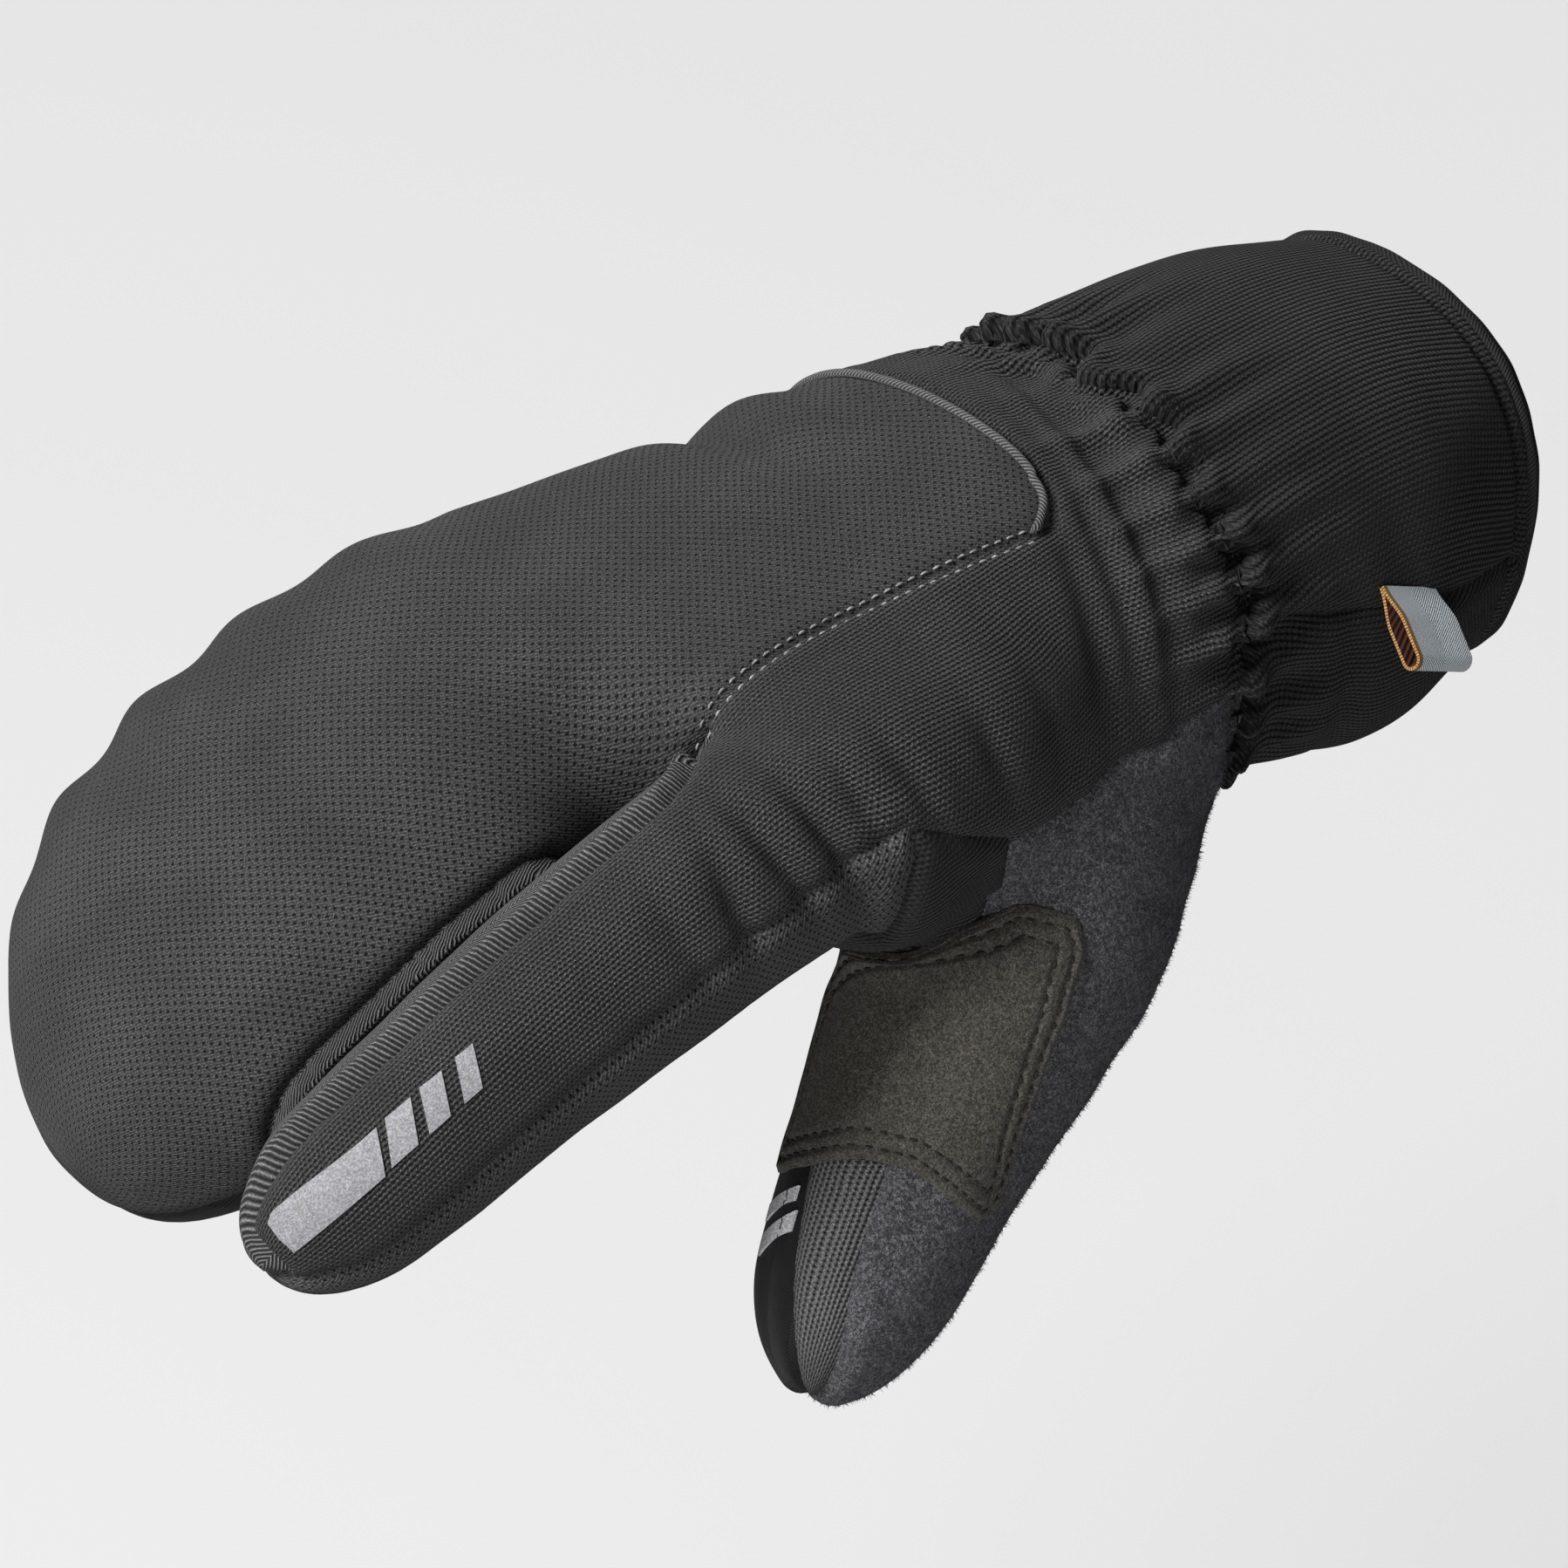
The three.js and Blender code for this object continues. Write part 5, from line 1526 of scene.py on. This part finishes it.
@dataclass
class Trims:
    """Patch, bars, cords, binding, tag, stitches and fuzz that lie on the skin."""

    skin: Skin
    wardrobe: Wardrobe

    def on_skin(self, points: Array, lift: Array | float) -> tuple[Array, Array]:
        """Points settled at a lift off the skin, and the directions outwards there."""
        settled = self.skin.form.settle(points, lift, rounds=4)
        return settled, self.skin.form.normals(settled)

    def add(self, name: str, solid: Solid, finish: Sequence[str], node: str | None = None
            ) -> bpy.types.Object:
        """Makes a piece, dresses it, and lets it stand for its node.

        Args:
            name: name of the piece.
            solid: its mesh.
            finish: names of its finishes.
            node: node of the frame that it replaces.
        Returns:
            The piece.
        """
        piece = new_object(name, solid)
        self.wardrobe.dress(piece, *finish)
        if node:
            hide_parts(node)
        log.info("trim %s: %d faces", name, len(solid.faces))
        return piece

    def build(self) -> None:
        """Makes every trim in order."""
        self.lay_patch()
        self.lay_bars()
        self.lay_piping()
        self.bind_rim()
        self.hang_tag()
        self.raise_fuzz()

    def lay_patch(self, rows: int = 110, columns: int = 130) -> None:
        """Lays the suede patch over the thumb with two rows of stitches near its edge.

        Stations run along the thumb between the rows of the table, and the end towards the
        tip bows. The lift falls at the edge and in the two stitched grooves.

        Args:
            rows: points along the thumb.
            columns: points around it.
        """
        tube = self.skin.form.thumb
        table = np.array(PATCH_ROWS)
        at = np.linspace(table[0, 0], table[-1, 0], rows)
        first, last = (smooth_rows(table[:, 0], table[:, k], at) for k in (1, 2))
        share = np.linspace(0, 1, columns)
        around = first[:, None] + (last - first)[:, None] * share
        bow = np.interp(around, *np.array(PATCH_BOW).T)
        start = np.interp(around, *np.array(PATCH_START).T) * smooth_step(.40, .26, at)[:, None]
        at = at[:, None] + bow * smooth_step(.45, .70, at)[:, None] + start
        flat = np.stack([at * THUMB_LENGTH, np.radians(around) * PATCH_RADIUS], -1)
        loop = np.vstack([flat[0], flat[1:, -1], flat[-1, -2::-1], flat[-2:0:-1, 0]])
        edge = np.empty(rows * columns)
        cells = flat.reshape(-1, 2)
        for part in np.array_split(np.arange(len(cells)), 8):
            edge[part] = np.linalg.norm(cells[part][:, None] - loop[None], axis=-1).min(1)
        lift = 1.3 - .8 * bell(edge / .6)
        for inset in PATCH_INSETS:
            lift = lift - .55 * bell((edge - inset) / .5)
        points = tube.point(at * THUMB_LENGTH, around, 1.0).reshape(-1, 3)
        lift = lift + .12 * smooth_noise(points, 5, 31)
        points, out = self.on_skin(points, lift)
        faces = self.turned_out(points, grid_faces(rows, columns), out)
        solid = shell_of(points, faces, out, .9, flat.reshape(-1, 2))
        patch = self.add("saddle_patch_suede", solid, ("suede", "suede"), "saddle_patch")
        size = flat.reshape(-1, 2).max(0) - flat.reshape(-1, 2).min(0)
        grid = points.reshape(rows, columns, 3)
        side_a, side_b = grid[1:, :-1] - grid[:-1, :-1], grid[:-1, 1:] - grid[:-1, :-1]
        area = np.linalg.norm(np.cross(side_a, side_b), axis=-1).sum()
        size = np.maximum(size, area / size[::-1])
        self.stitch_patch(loop)

    @staticmethod
    def turned_out(points: Array, faces: Array, out: Array) -> Array:
        """Faces of a sheet, turned round if they look against the outward directions.

        Args:
            points: places in the mitt's own axes, (n, 3).
            faces: rows of point numbers.
            out: outward direction at each point.
        Returns:
            The faces, looking outwards.
        """
        a, b, c = (points[faces[:, k]] for k in range(3))
        inwards = (np.cross(b - a, c - a) * out[faces[:, 0]]).sum() < 0
        return faces[:, ::-1] if inwards else faces

    def stitch_patch(self, loop: Array) -> None:
        """Runs two rows of stitches inside the outline of the patch.

        Args:
            loop: the outline, in millimetres along and around the thumb.
        """
        tube = self.skin.form.thumb
        along = unit(np.roll(loop, -2, 0) - np.roll(loop, 2, 0))
        inwards = np.stack([-along[:, 1], along[:, 0]], -1)
        middle = loop.mean(0)
        if ((middle - loop) * inwards).sum() < 0:
            inwards = -inwards
        places, ways = [], []
        for inset in PATCH_INSETS:
            line = loop + inwards * inset
            far = np.linalg.norm(line[:, None] - loop[None], axis=-1).min(1)
            line = line[far > inset - .25]
            spots = even_steps(np.vstack([line, line[:1]]), 2.7)
            spot = tube.point(spots[:, 0], np.degrees(spots[:, 1] / PATCH_RADIUS), 1.0)
            spot, _ = self.on_skin(spot, .98)
            way = np.roll(spot, -1, 0) - np.roll(spot, 1, 0)
            near = np.linalg.norm(way, axis=1) < 9
            places.append(spot[near])
            ways.append(unit(way[near]))
        places, ways = np.vstack(places), np.vstack(ways)
        out = self.skin.form.normals(places)
        self.add("patch_stitches", stitches_of(places, ways, out, 1.5, .27), ("patch_thread",))

    def lay_bars(self) -> None:
        """Lays the reflective bars: thin films with straight slanted ends."""
        form = self.skin.form
        for kind, film, tube, length, bars in (
                ("index", "silver", form.index, INDEX_LENGTH, INDEX_BARS),
                # The thumb's bars take the bright copy of the film, a painted reflection.
                ("thumb", "thumb_silver_painted_reflection", form.thumb, THUMB_LENGTH, THUMB_BARS)):
            for number, bar in enumerate(bars, 1):
                near_start, near_end, far_start, far_end, near, far, spread = bar
                u = np.linspace(0, 1, 44)[:, None]
                v = np.linspace(0, 1, 18)
                at = (near_start + (near_end - near_start) * u) * (1 - v) \
                    + (far_start + (far_end - far_start) * u) * v
                around = near + (far + spread * u ** 2 - near) * v
                points, out = self.on_skin(tube.point(at * length, around, .5).reshape(-1, 3), .34)
                faces = self.turned_out(points, grid_faces(44, 18), out)
                uv = np.stack([at * length, np.radians(around) * 16], -1).reshape(-1, 2)
                self.add(f"{kind}_bar_{number}", shell_of(points, faces, out, .5, uv),
                         (film, film), f"{kind}_stripe_{number}")

    def hand_spot(self, reach: Array, side: Array) -> Array:
        """Points on the back of the hand above a reach and a thumbward place.

        Args:
            reach: distances towards the fingers.
            side: distances towards the thumb.
        Returns:
            Points a little off the plain tube, (n, 3).
        """
        tube = self.skin.form.hand
        middle, half, _, _ = tube.sizes(reach)
        c = np.clip((side - middle) / half, -.999, .999)
        around = np.degrees(np.arccos(np.sign(c) * np.abs(c) ** (tube.square / 2)))
        return tube.point(reach, around, .5)

    def lay_piping(self) -> None:
        """Lays the cord across the back and round the corner, and the dotted seam after it."""
        sweep = np.radians(np.linspace(0, 88, 14))
        side = np.linspace(-51, POUCH_EDGE[0][1] - YOKE_CORNER - 1.5, 40)
        across = np.stack([np.interp(side, *np.array(YOKE_EDGE).T), side], -1)
        corner = np.stack([24.1 + YOKE_CORNER * (1 - np.cos(sweep)),
                           POUCH_EDGE[0][1] - YOKE_CORNER - .3 + YOKE_CORNER * np.sin(sweep)], -1)
        route = even_steps(np.vstack([across, corner]), .5)
        path, out = self.on_skin(self.hand_spot(*route.T), .55)
        share = np.linspace(0, 1, len(path))
        radius = .72 * np.minimum(1, np.minimum(share, 1 - share) * 40 + .35)
        self.add("back_piping_cord", cord_of(path, out, radius), ("cord",), "back_piping")
        line = np.array([row for row in POUCH_EDGE if row[0] < 94])
        rows = []
        for offset in (-1.1, 1.1):
            spots = even_steps(line + [0, offset], 2.1)
            places, out = self.on_skin(self.hand_spot(*spots.T), .04)
            rows.append((places, unit(np.gradient(places, axis=0)), out))
        places, way, out = (np.vstack([row[k] for row in rows]) for k in range(3))
        self.add("back_stitches", stitches_of(places, way, out, 1.35, .2), ("thread",))

    def bind_rim(self, steps: int = 360) -> None:
        """Carries the profile of a rolled band and a cord round the rim.

        Args:
            steps: points around the rim.
        """
        tube = self.skin.form.hand
        band = np.radians(np.linspace(165, -35, 14))
        cord = np.radians(np.linspace(115, -95, 14))
        profile = np.vstack([
            [[-.6, -2.3], [-.7, -.5]],
            np.stack([.75 + 1.1 * np.cos(band), -.55 + 1.05 * np.sin(band)], -1),
            np.stack([2.35 + .8 * np.cos(cord), -1.0 + .8 * np.sin(cord)], -1),
            [[1.7, -2.5], [.6, -2.9]]])
        turn = np.arange(steps) * 360 / steps
        wobble = .12 * np.sin(np.radians(turn * 9)) + .08 * np.sin(np.radians(turn * 23 + 40))
        at = -CUFF_LENGTH - profile[:, :1] + 0 * turn
        lift = profile[:, 1:] + .35 + wobble
        points = tube.point(at, turn + 0 * at, lift)
        faces = grid_faces(len(profile), steps, wrap_rows=True, wrap_columns=True)
        inner = np.linalg.norm(np.diff(np.vstack([profile, profile[:1]]), axis=0), axis=1)
        uv = np.stack(np.broadcast_arrays(np.abs(turn - 180) * .72, np.cumsum(inner)[:, None]), -1)
        points = points.reshape(-1, 3)
        faces = self.outwards(points, faces)
        solid = Solid(points, faces.tolist(), uv.reshape(-1, 2), np.zeros(len(faces), int))
        self.add("cuff_binding_cords", solid, ("binding",), "cuff_binding")

    @staticmethod
    def outwards(points: Array, faces: Array) -> Array:
        """Faces of a closed shape, turned round if its volume comes out below nought.

        Args:
            points: places in the mitt's own axes, (n, 3).
            faces: rows of four point numbers.
        Returns:
            The faces, looking outwards.
        """
        a, b, c, d = (points[faces[:, k]] for k in range(4))
        volume = (a * np.cross(b - a, c - a)).sum() + (a * np.cross(c - a, d - a)).sum()
        return faces if volume > 0 else faces[:, ::-1]

    def hang_tag(self) -> None:
        """Folds the tag: two leaves that part from the seam and meet in a round end."""
        tube = self.skin.form.hand
        at = np.array([-.43 * CUFF_LENGTH])
        root = tube.point(at, np.array([6.0]), -.4)[0]
        _, along, back = (part[0] for part in tube.axes(at))
        tilt, slope = Matrix.Rotation(-.4, 3, Vector(tube.e2)), -.6
        width = np.array(tilt @ Vector(along))
        face = tilt @ Vector(back)
        face = np.array(Matrix.Rotation(slope, 3, Vector(width)) @ face)
        drop = np.cross(width, face)
        far = np.linspace(0, 1, 41)[:-1]
        leaf = np.stack([.45 + 1.35 * smooth_step(0, .55, far), far * TAG_DROP], -1)
        bend = np.radians(np.linspace(0, 180, 25))
        end = np.stack([1.8 * np.cos(bend), TAG_DROP + 1.8 * np.sin(bend)], -1)
        profile = np.vstack([leaf, end, (leaf * [-1, 1])[::-1]])
        place = np.linspace(-TAG_WIDTH / 2, TAG_WIDTH / 2, 30)
        flare = 1 + .12 * smooth_step(0, 1, -place / (TAG_WIDTH / 2))
        grid = (root + profile[:, None, :1] * flare[:, None] * face - profile[:, None, 1:] * drop
                + place[:, None] * width)
        out = unit(np.cross(np.gradient(grid, axis=0), width))
        middle = root - 8 * drop
        if ((grid - middle) * out).sum() < 0:
            out = -out
        points, out = grid.reshape(-1, 3), out.reshape(-1, 3)
        faces = self.turned_out(points, grid_faces(len(profile), len(place)), out)
        run = run_along(profile)
        uv = np.stack(np.broadcast_arrays(run[:, None], place), -1).reshape(-1, 2)
        solid = shell_of(points, faces, out, .55, uv, rim_slot=2)
        hem = uv[faces].mean(1)[:, 1] > 5.8
        solid.slot[:len(faces)][hem] = 2
        tag = self.add("label_loop_tag", solid, ("tag", "tag_inside", "tag_edge"), "label_loop")

    def raise_fuzz(self, count: int = 15000) -> None:
        """Raises short loose fibres on the fleece: slim pyramids at seeded places.

        Args:
            count: number of fibres.
        """
        points, faces, out = self.skin.panel("thumb_back")
        rng = np.random.default_rng(41)
        a, b, c = (points[faces[:, k]] for k in range(3))
        area = np.linalg.norm(np.cross(b - a, c - a), axis=1)
        pick = rng.choice(len(faces), count, p=area / area.sum())
        u, v = rng.uniform(size=(2, count, 1))
        u, v = np.where(u + v > 1, 1 - u, u), np.where(u + v > 1, 1 - v, v)
        foot = a[pick] + u * (b - a)[pick] + v * (c - a)[pick]
        way = unit(out[faces[pick, 0]] + rng.normal(size=(count, 3)) * .7)
        side = unit(np.cross(way, rng.normal(size=(count, 3))))
        other = np.cross(way, side)
        turn = np.array([0, 1, 2]) * FULL_TURN / 3
        ring = foot[:, None] + .07 * (side[:, None] * np.cos(turn)[:, None]
                                       + other[:, None] * np.sin(turn)[:, None])
        tip = foot + way * rng.uniform(.4, 1.05, (count, 1))
        cells = np.concatenate([ring, tip[:, None]], 1).reshape(-1, 3)
        one = np.array([[0, 1, 3], [1, 2, 3], [2, 0, 3], [2, 1, 0]])
        fibres = (one[None] + (np.arange(count) * 4)[:, None, None]).reshape(-1, 3)
        solid = Solid(cells, fibres.tolist(), cells[:, :2], np.zeros(len(fibres), int))
        self.add("fleece_fuzz", solid, ("fibre",))


@dataclass
class Studio:
    """Plain pale floor, soft lamps and the camera at the photograph's angle."""

    floor_at: float = -.32
    distance: float = .9
    lens: float = 131.5
    shine: float = .68

    def build(self) -> None:
        """Sets the floor, the lamps, the sky and the camera."""
        self.lay_floor()
        self.hang_lamp("key_lamp", (-.85, .15, .85), .5, 22)
        self.hang_lamp("fill_lamp", (-.8, -.75, .12), .6, 5)
        self.hang_lamp("rim_lamp", (.3, .9, .7), .8, 2.5)
        world = bpy.data.worlds.new("studio_sky")
        world.use_nodes = True
        world.node_tree.nodes["Background"].inputs[0].default_value = (.9, .92, .95, 1)
        world.node_tree.nodes["Background"].inputs[1].default_value = .15
        bpy.context.scene.world = world
        bpy.context.scene.view_settings.view_transform = "Standard"
        self.set_camera()

    def lay_floor(self) -> None:
        """Lays a wide pale sheet under the mitt, which shines towards the camera alone."""
        mesh = bpy.data.meshes.new("studio_floor")
        w = 6.0
        mesh.from_pydata([(-w, -w, self.floor_at), (w, -w, self.floor_at), (w, w, self.floor_at),
                          (-w, w, self.floor_at)], [], [(0, 1, 2, 3)])
        thing = bpy.data.objects.new("studio_floor", mesh)
        material = bpy.data.materials.new("pale_floor")
        material.use_nodes = True
        shader = material.node_tree.nodes["Principled BSDF"]
        shader.inputs["Base Color"].default_value = (.12, .12, .12, 1)
        shader.inputs["Emission Color"].default_value = (1, 1, 1, 1)
        g = Graph(material.node_tree)
        seen = g.node("ShaderNodeLightPath").outputs["Is Camera Ray"]
        material.node_tree.links.new(g.math("MULTIPLY", seen, self.shine),
                                     shader.inputs["Emission Strength"])
        shader.inputs["Roughness"].default_value = .9
        mesh.materials.append(material)
        bpy.context.scene.collection.objects.link(thing)

    def hang_lamp(self, name: str, place: tuple[float, float, float], size: float,
                  power: float) -> None:
        """Hangs a square area lamp that looks at the mitt.

        Args:
            name: name of the lamp.
            place: its place in metres.
            size: side of the square.
            power: power in watts.
        """
        lamp = bpy.data.lights.new(name, "AREA")
        lamp.size = size
        lamp.energy = power
        thing = bpy.data.objects.new(name, lamp)
        bpy.context.scene.collection.objects.link(thing)
        middle = Vector((-.06, 0, -.02))
        turn = (middle - Vector(place)).to_track_quat("-Z", "Y")
        thing.matrix_world = Matrix.Translation(place) @ turn.to_matrix().to_4x4()

    def set_camera(self) -> None:
        """Places the camera by the mitt's axes as the photograph shows them."""
        reach = np.array([-.786, -.406, .469])
        up = np.array([-.030, .782, .624])
        reach /= np.linalg.norm(reach)
        up -= reach * (up @ reach)
        up /= np.linalg.norm(up)
        turn = np.stack([reach, np.cross(up, reach), up])
        turn[:2] *= -1
        origin = np.array([52.7, 37.7, -28.0]) / 1000
        eye = turn @ (np.array([0, 0, self.distance]) - origin)
        camera = bpy.data.cameras.new("camera")
        camera.sensor_width = 36
        camera.lens = self.lens
        thing = bpy.data.objects.new("camera", camera)
        bpy.context.scene.collection.objects.link(thing)
        matrix = np.eye(4)
        matrix[:3, :3] = turn
        matrix[:3, 3] = eye
        thing.matrix_world = Matrix(matrix.tolist())
        bpy.context.scene.camera = thing


def main() -> None:
    """Builds the mitt, the stage, the lights and the camera in order."""
    logging.basicConfig(level=logging.INFO, format="%(message)s")
    form = Form()
    skin = Skin(form)
    wardrobe = Wardrobe()
    Shell(skin, wardrobe).build()
    Trims(skin, wardrobe).build()
    Studio().build()


if __name__ == "__main__":
    main()
